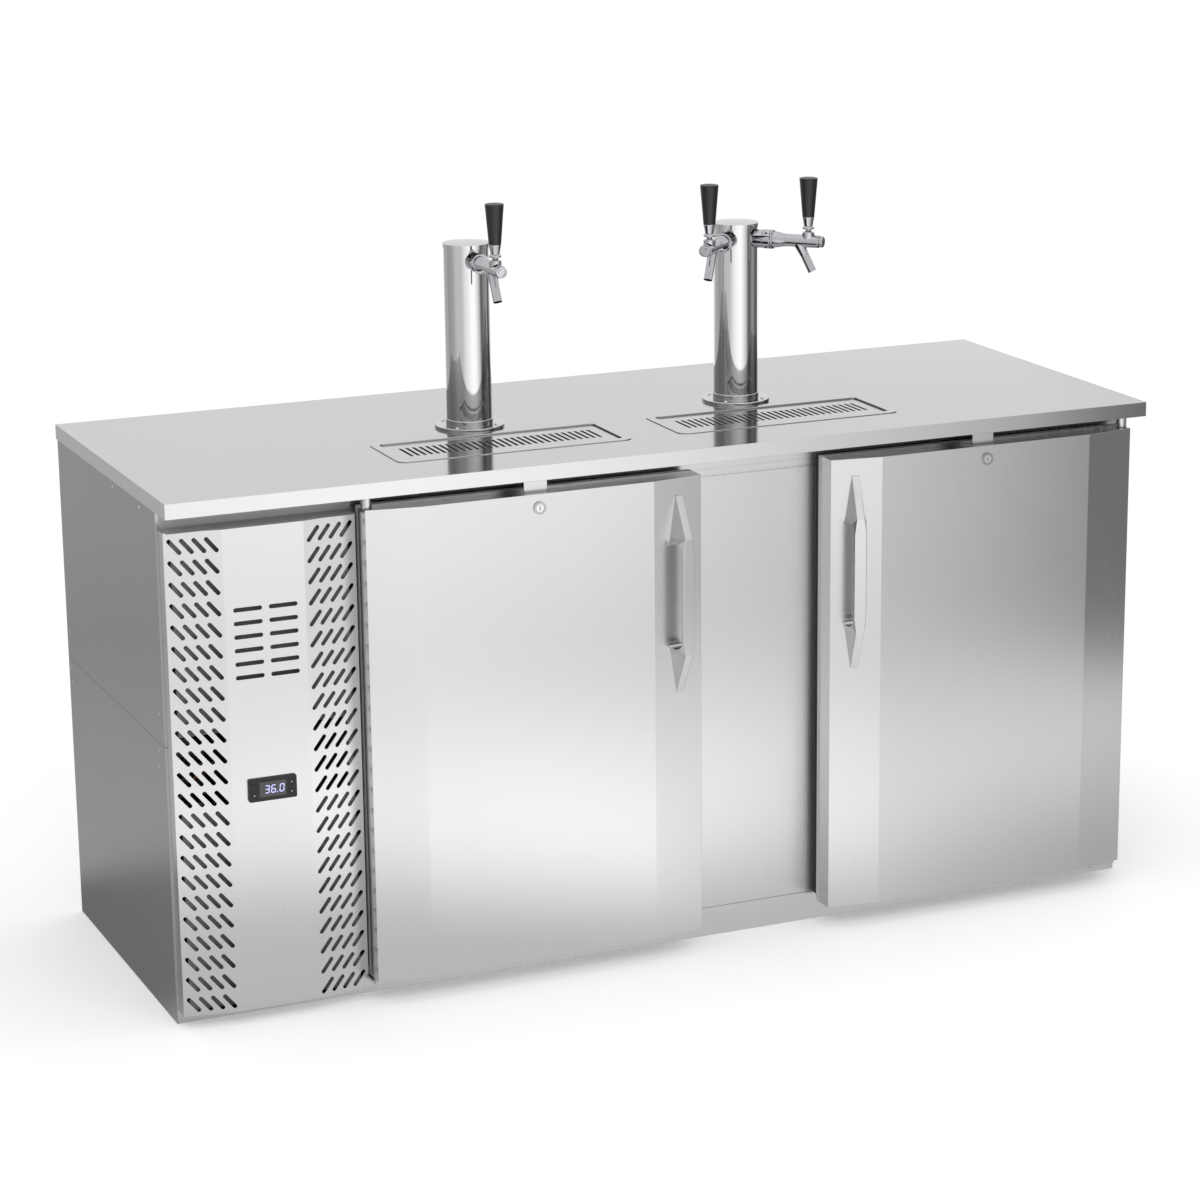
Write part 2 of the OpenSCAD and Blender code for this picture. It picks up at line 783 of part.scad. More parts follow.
module front_top_rail() {
    color("gainsboro") difference() {
        union() {
            box([-cab_x + side_flange, cab_front, rail_z], [cab_x, inner_front, cab_top]);
            box([partition_x1, cab_front, opening_z1], [right_wall_x, inner_front, rail_z]);
        }
        box([mullion_x0, cab_front - eps, opening_z1 - eps], [mullion_x1, inner_front + eps, rail_z]);
    }
}

module centre_mullion() {
    color("silver") difference() {
        box([mullion_x0, cab_front, sill_h], [mullion_x1, inner_front, rail_z]);
        for (z = [sill_h, rail_z - mullion_seam_drop]) box([mullion_x0 - eps, cab_front - eps, z - eps],
            [mullion_x1 + eps, cab_front + sheet, z + mullion_seam]);
    }
}

module side_panel(z0, z1, flange_z) {
    difference() {
        union() {
            box([-cab_x, cab_front, z0], [-cab_x + sheet, cab_back, z1]);
            box([-cab_x, cab_front, flange_z], [-cab_x + side_flange, cab_front + sheet, z1]);
        }
        for (s = panel_screws)
            translate([-cab_x - eps, cab_front + s[0], s[1]]) rotate([0, 90, 0])
                cylinder(r = screw_r, h = sheet + 2 * eps);
    }
}

module side_panel_upper() {
    color("darkgrey") side_panel(side_seam_z + side_seam_gap, cab_top, side_seam_z + side_seam_gap);
}

module side_panel_lower() {
    color("darkgrey") side_panel(0, side_seam_z, sill_h);
}

module side_panel_screws() {
    color("silver") for (s = panel_screws)
        translate([-cab_x, cab_front + s[0], s[1]]) rotate([0, 90, 0]) {
            cylinder(r = screw_r, h = panel_screw_l);
            translate([0, 0, -panel_head_h]) cylinder(r1 = screw_r, r2 = screw_head_r, h = panel_head_h);
        }
}

module rear_vent_panel() {
    vent_w = partition_x0 + cab_x - sheet;
    vent_h = cab_top - sill_h;
    color("silver") translate([-cab_x + sheet, cab_back - sheet, sill_h]) upright_plate(sheet) difference() {
        square([vent_w, vent_h]);
        for (i = [0:vent_slots - 1])
            translate([vent_w / 2, vent_z - sill_h + (i - (vent_slots - 1) / 2) * vent_pitch])
                obround(vent_slot_l, slot_w);
        translate([vent_w - gland_in, gland_z - sill_h]) circle(gland_body_r + fit_clear);
    }
}

module cord_gland() {
    color("dimgrey") translate([partition_x0 - gland_in, cab_back + gland_t, gland_z]) difference() {
        union() {
            rod(gland_r, gland_t);
            rod(gland_body_r, gland_l);
        }
        translate([0, eps, 0]) rod(gland_bore_r, gland_l + 2 * eps);
    }
}

// Grille with slots that lean outwards at the top

// A band's slots, whose side is -1 on the left and 1 on the right
module leaning_slots(side) {
    for (row = [0:slot_rows - 1], column = [0:slot_columns - 1])
        translate([
            grille_band_l / 2 + (column - (slot_columns - 1) / 2) * slot_pitch,
            slot_z + (row - (slot_rows - 1) / 2) * slot_row_pitch
        ]) rotate(90 - side * slot_lean) obround(slot_l, slot_w);
}

module level_slots() {
    for (row = [0:level_rows - 1], side = [-1, 1])
        translate([
            side * level_slot_pitch / 2,
            level_slot_z + (row - (level_rows - 1) / 2) * level_row_pitch
        ]) obround(level_slot_l, slot_w);
}

module cut_through() {
    translate([0, -sheet, 0]) upright_plate(4 * sheet) children();
}

module front_grille() {
    height = grille_top - grille_z;
    color("silver") difference() {
        translate([grille_x0, 0, grille_z]) linear_extrude(height)
            polygon(facet_plan(grille_w, cab_front, grille_edge_y, grille_front_y, grille_band));
        translate([grille_x0, 0, grille_z + sheet]) linear_extrude(height - 2 * sheet)
            polygon(facet_inside(grille_w, cab_front + eps, grille_edge_y, grille_front_y, grille_band));
        translate([grille_x0, grille_edge_y, 0]) rotate([0, 0, -grille_angle])
            cut_through() leaning_slots(-1);
        translate([grille_x1 - grille_band, grille_front_y, 0]) rotate([0, 0, grille_angle])
            cut_through() leaning_slots(1);
        translate([grille_mid_x, grille_front_y, 0]) cut_through() {
            level_slots();
            translate([0, bezel_z]) square(controller_box() + [1, 1] * 2 * fit_clear, center = true);
        }
    }
}

// Controller

function controller_box() = [bezel_w, bezel_h] - 2 * bezel_rim * [1, 1];

module at_controller() {
    translate([grille_mid_x, grille_front_y, bezel_z]) rotate([90, 0, 0]) children();
}

module controller_housing() {
    color("black") at_controller() difference() {
        union() {
            linear_extrude(bezel_t) rounded_rect(bezel_w, bezel_h, bezel_r);
            translate([0, 0, -controller_depth]) linear_extrude(controller_depth + eps)
                square(controller_box(), center = true);
        }
        translate([0, 0, bezel_t - window_t]) linear_extrude(bezel_t)
            square([window_w, window_h], center = true);
        for (x = [-1, 1], z = [-1, 1]) translate([x * key_x, z * key_z, 0])
            cylinder(r = key_r + key_clear, h = bezel_t + eps);
    }
}

module display_window() {
    color("lightsteelblue") at_controller() translate([0, 0, bezel_t - window_t])
        linear_extrude(window_t) square([window_w, window_h], center = true);
}

module key(x, z) {
    color("dimgrey") at_controller() translate([x * key_x, z * key_z, key_travel])
        cylinder(r = key_r, h = bezel_t + key_proud - key_travel);
}

module key_set() { key(-1, 1); }
module key_lamp() { key(-1, -1); }
module key_up() { key(1, 1); }
module key_down() { key(1, -1); }

// Worktop and drip trays

module worktop() {
    half = [worktop_w / 2, worktop_d / 2];
    color("whitesmoke") difference() {
        box([-half.x, -half.y, cab_top], [half.x, half.y, worktop_z]);
        box([-half.x + sheet, -half.y + sheet, cab_top + sheet], [half.x - sheet, half.y - sheet, sheet_z]);
        box([-cab_x + worktop_seat, cab_front + worktop_seat, cab_top - eps],
            [cab_x - worktop_seat, cab_back - worktop_seat, sheet_z - eps]);
        for (x = tower_places) {
            translate([x, tray_y, cab_top]) linear_extrude(worktop_edge + eps)
                rounded_rect(well_w + 2 * tray_clear, well_d + 2 * tray_clear, well_r);
            translate([x, tower_y, cab_top]) cylinder(r = passage_r, h = worktop_edge + eps);
            at_flange_screws(x) translate([0, 0, cab_top]) cylinder(r = screw_r, h = worktop_edge + eps);
        }
    }
}

module tray_rim() {
    difference() {
        union() {
            translate([0, 0, worktop_z]) linear_extrude(sheet) rounded_rect(tray_w, tray_d, tray_r);
            translate([0, 0, ledge_z - sheet]) linear_extrude(worktop_z - ledge_z + 2 * sheet)
                rounded_rect(well_w, well_d, well_r);
        }
        translate([0, 0, ledge_z]) linear_extrude(worktop_edge)
            rounded_rect(well_w - 2 * sheet, well_d - 2 * sheet, well_r - sheet);
        translate([0, 0, ledge_z - sheet - eps]) linear_extrude(sheet + 2 * eps)
            square([pan_w, pan_d], center = true);
    }
}

module tray_walls() {
    wall_z = tray_floor + sheet + weld_gap;
    translate([0, 0, wall_z]) linear_extrude(ledge_z - sheet - weld_gap - wall_z) for (side = [-1, 1]) {
        translate([0, side * (pan_d + sheet) / 2]) square([pan_w + 2 * sheet, sheet], center = true);
        translate([side * (pan_w + sheet) / 2, 0]) square([sheet, pan_d - 2 * weld_gap], center = true);
    }
}

module tray_bottom() {
    tail_z = opening_z1 - drain_tail;
    difference() {
        union() {
            translate([0, 0, tray_floor]) linear_extrude(sheet)
                square([pan_w + 2 * sheet, pan_d + 2 * sheet], center = true);
            translate([0, 0, tail_z]) cylinder(r = drain_r, h = tray_floor - tail_z);
        }
        translate([0, 0, tail_z - eps])
            cylinder(r = drain_r - tube_wall, h = tray_floor - tail_z + 3 * eps);
    }
}

// Welded from a rim, four walls and a bottom
module drip_trays() {
    color("silver") for (x = tower_places) translate([x, tray_y, 0]) {
        tray_rim();
        tray_walls();
        tray_bottom();
    }
}

module drip_grate(x) {
    color("silver") translate([x, tray_y, ledge_z]) linear_extrude(grate_t) difference() {
        rounded_rect(grate_w, grate_d, well_r - sheet - grate_clear / 2);
        for (i = [0:grate_slots - 1])
            translate([(i - (grate_slots - 1) / 2) * grate_pitch, 0]) rotate(90)
                obround(grate_slot_l, grate_slot_w);
    }
}

module drip_grate_left() { drip_grate(-tower_x); }
module drip_grate_right() { drip_grate(tower_x); }

// Draft towers

module at_flange_screws(x) {
    translate([x, tower_y, 0]) for (i = [0:flange_screws - 1])
        rotate((i + 0.5) * 360 / flange_screws) translate([flange_screw_ring, 0, 0]) children();
}

module tower_bases() {
    collar_r = column_r + fit_clear + collar_wall;
    profile = concat(
        [[passage_r, 0], [flange_r, 0]],
        arc([flange_r - collar_round, flange_t - collar_round], collar_round, 0, 90),
        [[collar_r, flange_t]],
        arc([collar_r - collar_round, collar_h - collar_round], collar_round, 0, 90),
        [[column_r + fit_clear, collar_h], [column_r + fit_clear, flange_t / 2], [passage_r, flange_t / 2]]
    );
    color("silver") difference() {
        for (x = tower_places) translate([x, tower_y, worktop_z]) rotate_extrude() polygon(profile);
        for (x = tower_places) at_flange_screws(x) translate([0, 0, worktop_z - eps])
            cylinder(r = screw_r, h = flange_t + 2 * eps);
    }
}

module tower_screws() {
    color("white") for (x = tower_places) at_flange_screws(x) {
        translate([0, 0, sheet_z]) cylinder(r = screw_r, h = flange_t + sheet);
        translate([0, 0, worktop_z + flange_t]) cylinder(r1 = screw_head_r, r2 = screw_r, h = screw_head_h);
    }
}

module tower_columns() {
    color("silver") difference() {
        for (x = tower_places) translate([x, tower_y, column_z]) difference() {
            cylinder(r = column_r, h = rim_z - sheet - column_z);
            translate([0, 0, -eps]) cylinder(r = column_r - column_wall, h = rim_z);
        }
        for (i = [0:len(taps) - 1]) at_tap(i) at_reach(0)
            cylinder(r = shank_r + fit_clear, h = column_r + eps);
    }
}

module tower_caps() {
    inside_r = column_r + fit_clear;
    cap_r = inside_r + cap_wall;
    dome_r = (cap_r * cap_r + cap_crown * cap_crown) / (2 * cap_crown);
    dome_angle = asin((cap_r - cap_wall) / dome_r);
    profile = concat(
        [[0, -sheet], [inside_r, -sheet], [inside_r, -cap_lip], [cap_r, -cap_lip], [cap_r, 0]],
        arc([0, cap_crown - dome_r], dome_r, 90 - dome_angle, 90)
    );
    color("silver") for (x = tower_places) translate([x, tower_y, rim_z])
        rotate_extrude() polygon(profile);
}

// Faucets

module faucet_shanks() {
    inside_r = column_r - column_wall;
    lock_nut_s = sqrt(inside_r * inside_r - lock_nut_r * lock_nut_r) - fit_clear - lock_nut_t;
    color("silver") for (i = [0:len(taps) - 1]) at_tap(i) difference() {
        union() {
            at_reach(shank_s - tail_l) cylinder(r = tail_r, h = tail_l + eps);
            at_reach(shank_s) cylinder(r = shank_r, h = saddle_s - shank_s);
            at_reach(lock_nut_s) cylinder(r = lock_nut_r, h = lock_nut_t, $fn = 6);
            difference() {
                at_reach(column_r / 2) cylinder(r = saddle_r, h = saddle_s - column_r / 2);
                translate([0, 0, -saddle_r - eps]) cylinder(r = column_r, h = 2 * (saddle_r + eps));
            }
            at_reach(saddle_s - eps) cylinder(r = thread_r, h = thread_end_s - saddle_s + eps);
        }
        at_reach(shank_s - tail_l - eps) cylinder(r = shank_bore_r, h = thread_end_s);
    }
}

module coupling_nuts() {
    thread_bore = thread_r + fit_clear;
    neck_bore = neck_r + fit_clear;
    lip_s = nut_l - nut_lip;
    low_r = nut_r - edge_break;
    profile = [
        [thread_bore, 0], [low_r, 0], [nut_r, edge_break], [nut_r, lip_s - edge_break], [low_r, lip_s],
        [nut_r, lip_s + edge_break], [nut_r, nut_l - edge_break], [low_r, nut_l], [neck_bore, nut_l],
        [neck_bore, lip_s], [thread_bore, lip_s]
    ];
    color("silver") for (i = [0:len(taps) - 1]) at_tap(i) at_reach(saddle_s) difference() {
        rotate_extrude() polygon(profile);
        for (k = [0:spanner_holes - 1]) rotate([90, 0, (k + 0.5) * 360 / spanner_holes])
            translate([0, lip_s / 2, 0]) cylinder(r = spanner_r, h = nut_r + eps);
    }
}

module faucet_barrel() {
    barrel_l = faucet_l - end_cap_l;
    root_s = thread_end_s - nut_s;
    profile = concat(
        [[0, root_s], [thread_r, root_s], [thread_r, -nut_lip], [neck_r, -nut_lip], [neck_r, 0]],
        [for (i = [0:tap_steps]) let (t = i / tap_steps)
            [flare_r + (barrel_r - flare_r) * ease(t), flare_l * t]],
        [[barrel_r, barrel_l - edge_break], [barrel_r - edge_break, barrel_l]],
        [[end_cap_r - edge_break, barrel_l], [end_cap_r, barrel_l + edge_break]],
        arc([end_cap_r - end_cap_round, faucet_l - end_cap_round], end_cap_round, 0, 90),
        [[button_r + button_gap, faucet_l], [button_r + button_gap, faucet_l - button_h]],
        [[button_r, faucet_l - button_h], [button_r, faucet_l], [0, faucet_l]]
    );
    at_reach(nut_s) rotate_extrude() polygon(profile);
}

module at_spout() {
    translate([0, -nut_s - spout_s, 0]) rotate([180 - spout_lean, 0, 0]) children();
}

module at_lever() {
    translate([0, -nut_s - lever_s, ball_z]) children();
}

module faucet_bodies() {
    bore_l = lever_s + nut_s - thread_end_s;
    color("silver") for (i = [0:len(taps) - 1]) at_tap(i) difference() {
        union() {
            faucet_barrel();
            at_spout() cylinder(r = spout_r, h = spout_l);
            at_spout() cylinder(r1 = spout_root_r, r2 = spout_r, h = spout_root_l);
            at_lever() translate([0, 0, -ball_z]) cylinder(r = bonnet_r, h = ball_z + bonnet_rim);
        }
        at_spout() cylinder(r = spout_bore_r, h = spout_l + eps);
        at_reach(thread_end_s - eps) cylinder(r = shank_bore_r, h = bore_l + eps);
        at_lever() sphere(ball_r + ball_clear);
    }
}

module tap_lever(i) {
    ring_r = bonnet_r;
    low_r = ring_r - edge_break;
    ring_top = ring_z + ring_h;
    profile = [
        [0, 0], [stem_r, 0], [stem_r, ring_z], [low_r, ring_z], [ring_r, ring_z + edge_break],
        [ring_r, ring_top - edge_break], [low_r, ring_top], [ferrule_waist_r, ring_top + edge_break],
        [ferrule_r, ferrule_z - edge_break], [ferrule_r, ferrule_z], [0, ferrule_z]
    ];
    color("silver") at_tap(i) at_lever() {
        sphere(ball_r);
        rotate_extrude() polygon(profile);
    }
}

module tap_handle(i) {
    side = tap_handle_h - tap_handle_round - tap_handle_crown;
    top_r = tap_handle_r - tap_handle_round;
    profile = concat(
        [[0, 0], [ferrule_r, 0]],
        arc([top_r, side], tap_handle_round, 0, 90),
        [[0, tap_handle_h]]
    );
    color("black") at_tap(i) at_lever() translate([0, 0, ferrule_z]) rotate_extrude() polygon(profile);
}

module tap_lever_left() { tap_lever(0); }
module tap_handle_left() { tap_handle(0); }
module tap_lever_centre() { tap_lever(1); }
module tap_handle_centre() { tap_handle(1); }
module tap_lever_right() { tap_lever(2); }
module tap_handle_right() { tap_handle(2); }

// Doors, drawn with the hinge edge at X = 0

module door_hinge_bores(r) {
    for (z = [door_z - eps, door_top - hinge_pin_depth - eps])
        translate([hinge_in, hinge_y, z]) cylinder(r = r, h = hinge_pin_depth + 2 * eps);
}

module cam_space() {
    cam_depth = lock_cam_t + 2 * cam_clear;
    reach = lock_cam_l + cam_clear;
    translate([lock_x, cam_y + lock_cam_t + cam_clear, lock_z]) rod(reach, cam_depth);
}

module cam_mouth() {
    translate([lock_x - lock_cam_w / 2 - cam_clear, cam_y - cam_clear, door_top - sheet - eps])
        cube([lock_cam_l + lock_cam_w / 2 + 2 * cam_clear, lock_cam_t + 2 * cam_clear, sheet + 2 * eps]);
}

module door_skin() {
    difference() {
        translate([0, 0, door_z]) linear_extrude(door_h)
            polygon(facet_plan(door_w, door_back_y, door_edge_y, door_front_y, door_band));
        translate([0, 0, door_z + sheet]) linear_extrude(door_h - 2 * sheet)
            polygon(facet_inside(door_w, door_back_y + eps, door_edge_y, door_front_y, door_band));
        translate([lock_x, door_front_y + sheet + eps, lock_z]) rod(lock_sleeve_r, sheet + 2 * eps);
        cam_mouth();
        door_hinge_bores(hinge_pin_r + run_clear);
    }
}

module door_liner() {
    panel_y = cab_front - liner_panel_gap;
    difference() {
        union() {
            translate([0, 0, door_z + sheet]) linear_extrude(door_h - 2 * sheet)
                polygon(facet_inside(door_w, door_back_y + eps, door_edge_y, door_front_y, door_band));
            box([0, door_back_y, door_z], [door_w, door_back_y + liner_t, door_top]);
            box([liner_panel_in, door_back_y + liner_t - eps, door_z + liner_panel_in],
                [door_w - liner_panel_in, panel_y, door_top - liner_panel_in]);
        }
        translate([lock_x, cam_y, lock_z]) rod(lock_sleeve_r, lock_cam_in);
        cam_space();
        door_hinge_bores(hinge_pin_r + run_clear);
    }
}

module gasket_ring(inset, w, y0, y1) {
    difference() {
        box([inset, y0, door_z + inset], [door_w - inset, y1, door_top - inset]);
        box([inset + w, y0 - eps, door_z + inset + w], [door_w - inset - w, y1 + eps, door_top - inset - w]);
    }
}

module door_gasket() {
    base_y = door_back_y + liner_t;
    groove_y = base_y + gasket_base_t;
    bead_y = groove_y + gasket_gap_h;
    gasket_ring(gasket_in, gasket_w, base_y, groove_y);
    gasket_ring(gasket_in + gasket_groove, gasket_w - 2 * gasket_groove, base_y, bead_y + eps);
    gasket_ring(gasket_in, gasket_w, bead_y, base_y + gasket_t);
}

// Faceted pull: stations along Z with the foot's half width, the crest's half width and the height
module handle_body() {
    tip = [handle_end_w / 2, handle_end_w / 2, handle_tip_h];
    ramp = [handle_ramp_w / 2, handle_end_w / 2, handle_h];
    middle = [handle_mid_w / 2, handle_crest_w / 2, handle_h];
    half_lengths = [handle_l / 2, handle_ramp_l / 2, handle_mid_l / 2];
    forms = [tip, ramp, middle];
    order = [[0, -1], [1, -1], [2, -1], [2, 1], [1, 1], [0, 1]];
    points = [for (o = order) let (f = forms[o[0]], z = o[1] * half_lengths[o[0]])
        each [[-f[0], 0, z], [-f[1], -f[2], z], [f[1], -f[2], z], [f[0], 0, z]]];
    last = 4 * (len(order) - 1);
    walls = [for (k = [0:len(order) - 2], s = [0:3])
        let (a = 4 * k + s, b = 4 * k + (s + 1) % 4, flip = (k < 2) == (s == 0))
        each flip ? [[a, a + 4, b], [b, a + 4, b + 4]] : [[a, b + 4, b], [a, a + 4, b + 4]]];
    polyhedron(points, concat([[0, 1, 2, 3]], walls, [[last + 3, last + 2, last + 1, last]]));
}

module door_handle() {
    surface_y = door_edge_y - door_rise * handle_in / door_band;
    translate([door_w - handle_in, surface_y, handle_z]) rotate([0, 0, door_angle]) difference() {
        handle_body();
        translate([0, finger_r - finger_h, 0]) rotate([90, 0, 90])
            linear_extrude(2 * handle_mid_w, center = true)
                rotate(90) obround(finger_l - 2 * finger_r, 2 * finger_r);
    }
}

module lock_housing() {
    translate([lock_x, door_front_y, lock_z]) difference() {
        union() {
            rod(lock_bezel_r, lock_bezel_t);
            translate([0, lock_cam_in - cam_clear, 0]) rod(lock_sleeve_r, lock_cam_in - cam_clear);
        }
        translate([0, lock_cam_in, 0]) rod(lock_plug_r + run_clear, lock_cam_in + lock_bezel_t + eps);
    }
}

module lock_plug() {
    translate([lock_x, door_front_y, lock_z]) {
        difference() {
            translate([0, lock_cam_in, 0]) rod(lock_plug_r, lock_cam_in + lock_bezel_t);
            translate([-keyway_w / 2, -lock_bezel_t - eps, -keyway_h / 2])
                cube([keyway_w, keyway_h, keyway_h]);
        }
        translate([0, lock_cam_in + lock_cam_t, 0]) rod(lock_plug_r + cam_clear, lock_cam_t);
        translate([0, lock_cam_in, -lock_cam_w / 2]) cube([lock_cam_l, lock_cam_t, lock_cam_w]);
    }
}

module door_left_skin() { color("silver") at_left_door() door_skin(); }
module door_left_liner() { color("lightgrey") at_left_door() door_liner(); }
module door_left_gasket() { color("black") at_left_door() door_gasket(); }
module door_left_handle() { color("silver") at_left_door() door_handle(); }
module lock_left_housing() { color("white") at_left_door() lock_housing(); }
module lock_left_plug() { color("silver") at_left_door() lock_plug(); }
module door_right_skin() { color("silver") at_right_door() door_skin(); }
module door_right_liner() { color("lightgrey") at_right_door() door_liner(); }
module door_right_gasket() { color("black") at_right_door() door_gasket(); }
module door_right_handle() { color("silver") at_right_door() door_handle(); }
module lock_right_housing() { color("white") at_right_door() lock_housing(); }
module lock_right_plug() { color("silver") at_right_door() lock_plug(); }

module lock_strikes() {
    strike_y = -worktop_d / 2 + strike_in;
    color("silver") for (x = lock_places) {
        translate([x, strike_y, cab_top - strike_drop]) upright_plate(strike_t) {
            translate([-strike_w / 2, strike_r]) square([strike_w, strike_drop - strike_r]);
            translate([-strike_w / 2 + strike_r, 0]) square([strike_w - 2 * strike_r, strike_r]);
            for (s = [-1, 1]) translate([s * (strike_w / 2 - strike_r), strike_r]) circle(strike_r);
        }
        translate([x - strike_w / 2, strike_y, cab_top - strike_t]) cube([strike_w, strike_leg, strike_t]);
    }
}

// Plate of a hinge bracket, from the cabinet front to a round end about the pin
module bracket_plate(x, z) {
    translate([x, 0, z]) linear_extrude(bracket_t) {
        translate([-bracket_r, hinge_y]) square([2 * bracket_r, cab_front - hinge_y]);
        translate([-bracket_w / 2, cab_front - bracket_t]) square([bracket_w, bracket_t]);
        translate([0, hinge_y]) circle(bracket_r);
    }
}

module bracket_upright(x, z0, z1) {
    box([x - bracket_w / 2, cab_front - bracket_t, z0], [x + bracket_w / 2, cab_front, z1]);
}

module hinge_brackets() {
    upper_z = cab_top - bracket_t;
    lower_z = door_z - hinge_gap - 2 * bracket_t;
    upper_leg_z = door_top + hinge_gap;
    lower_leg_z = lower_z + bracket_t - bracket_leg;
    collar_r = bracket_r - fit_clear;
    color("silver") for (x = hinge_ends) {
        bracket_plate(x, upper_z);
        bracket_upright(x, upper_leg_z, cab_top);
        translate([x, hinge_y, upper_leg_z]) cylinder(r = collar_r, h = upper_z - door_top);
        translate([x, hinge_y, door_top - hinge_pin_depth])
            cylinder(r = hinge_pin_r, h = upper_z - door_top + hinge_pin_depth);

        bracket_plate(x, lower_z);
        bracket_upright(x, lower_leg_z, lower_z + bracket_t);
        translate([x, hinge_y, lower_z]) cylinder(r = collar_r, h = 2 * bracket_t);
        translate([x, hinge_y, lower_z]) cylinder(r = hinge_pin_r, h = door_z + hinge_pin_depth - lower_z);
    }
}

// Cooling unit

// Fin pack across X with end plates that reach from z0 to z1, and tubes through the fins
module fin_coil(x0, x1, y0, z0, z1, fins_z0) {
    fin_count = floor((x1 - x0 - fin_t) / fin_pitch);
    tube_count = floor((z1 - fins_z0) / coil_tube_pitch);
    for (x = [x0, x1 - fin_t]) box([x, y0, z0], [x + fin_t, y0 + coil_t, z1]);
    for (i = [1:fin_count - 1]) translate([x0 + i * fin_pitch, y0, fins_z0])
        cube([fin_t, coil_t, z1 - fins_z0]);
    for (i = [0:tube_count - 1]) translate([x0 + eps, y0 + coil_t / 2, fins_z0 + (i + 0.5) * coil_tube_pitch])
        rotate([0, 90, 0]) cylinder(r = coil_tube_r, h = x1 - x0 - 2 * eps);
}

// Open box whose plate at Y = 0 has a round opening, with the motor on arms outside the plate
module fan_housing(w, h, opening_r) {
    difference() {
        translate([-w / 2, 0, -h / 2]) cube([w, housing_d, h]);
        translate([-w / 2 + sheet, sheet, -h / 2 + sheet]) cube([w - 2 * sheet, housing_d, h - 2 * sheet]);
        translate([0, sheet + eps, 0]) rod(opening_r, sheet + 2 * eps);
    }
    for (i = [0:arm_count - 1]) rotate([0, i * 360 / arm_count + 90, 0])
        translate([0, -sheet, -arm_w / 2]) cube([opening_r + arm_w, sheet, arm_w]);
    rod(motor_r, motor_l);
    translate([0, hub_gap + hub_l, 0]) rod(shaft_r, hub_gap + hub_l);
}

// Fan on the housing's shaft, blades inside the housing
module fan_wheel(opening_r) {
    tip_r = opening_r - fan_clear;
    translate([0, hub_gap, 0]) difference() {
        union() {
            translate([0, hub_l, 0]) rod(hub_r, hub_l);
            for (i = [0:blade_count - 1]) rotate([0, i * 360 / blade_count, 0]) intersection() {
                translate([hub_r - eps, 0, 0]) translate([0, hub_l / 2, 0]) rotate([blade_pitch, 0, 0])
                    translate([0, -blade_t / 2, -blade_w / 2]) cube([tip_r - hub_r, blade_t, blade_w]);
                translate([0, hub_l, 0]) rod(tip_r, hub_l);
            }
        }
        translate([0, hub_l + eps, 0]) rod(shaft_r + run_clear, hub_l + 2 * eps);
    }
}

module at_condenser_fan() {
    translate([condenser_x, condenser_y + coil_t + housing_d, condenser_mid_z])
        rotate([0, 0, 180]) children();
}

module at_evaporator_fan() {
    translate([evaporator_x, inner_back - coil_t - housing_d, evaporator_mid_z]) children();
}

module condenser_coil() {
    color("silver") fin_coil(condenser_x - condenser_w / 2, condenser_x + condenser_w / 2, condenser_y,
        sheet, sheet + condenser_h, sheet + foot_h);
    inlet_x = condenser_x - condenser_w / 2 + inlet_in;
    color("silver") translate([inlet_x, condenser_y + coil_t / 2, sheet + condenser_h - eps])
        cylinder(r = port_r, h = port_h + eps);
}

module condenser_shroud() {
    color("dimgrey") at_condenser_fan() fan_housing(condenser_w, condenser_h, condenser_fan_r);
}

module condenser_fan() {
    color("black") at_condenser_fan() fan_wheel(condenser_fan_r);
}

module evaporator_coil() {
    half = evaporator_w / 2 - sheet - fit_clear;
    color("silver") fin_coil(evaporator_x - half, evaporator_x + half, inner_back - coil_t,
        evaporator_top - evaporator_h, evaporator_top, evaporator_top - evaporator_h);
}

module evaporator_cover() {
    color("white") at_evaporator_fan() fan_housing(evaporator_w, evaporator_h, evaporator_fan_r);
}

module evaporator_fan() {
    color("black") at_evaporator_fan() fan_wheel(evaporator_fan_r);
}

module compressor() {
    shell_z = sheet + foot_h;
    foot_in = compressor_r - foot_r;
    profile = concat(
        [[0, 0]],
        arc([compressor_r - compressor_round, compressor_round], compressor_round, -90, 0),
        arc([compressor_r - compressor_round, compressor_h - compressor_round], compressor_round, 0, 90),
        [[0, compressor_h]]
    );
    color("black") translate([compressor_x, compressor_y, 0]) {
        translate([0, 0, shell_z]) rotate_extrude() polygon(profile);
        translate([0, 0, shell_z]) linear_extrude(sheet * 2)
            rounded_rect(2 * compressor_r, 2 * compressor_r, foot_r);
        for (x = [-1, 1], y = [-1, 1]) translate([x * foot_in, y * foot_in, sheet])
            cylinder(r = foot_r, h = foot_h + eps);
        for (x = [-1, 1]) translate([x * port_x, 0, shell_z + compressor_h - compressor_round])
            cylinder(r = port_r, h = compressor_round + port_h);
    }
}

module pipe_run(from, to) {
    d = to - from;
    translate(from) rotate([0, acos(d.z / norm(d)), atan2(d.y, d.x)]) cylinder(r = pipe_r, h = norm(d));
}

// Quarter bend from direction u into direction v, both along axes
module pipe_corner(corner, u, v) {
    w = cross(-v, u);
    c = corner + pipe_bend * (v - u);
    multmatrix([[-v.x, u.x, w.x, c.x], [-v.y, u.y, w.y, c.y], [-v.z, u.z, w.z, c.z], [0, 0, 0, 1]])
        rotate_extrude(angle = 90) translate([pipe_bend, 0]) circle(pipe_r);
}

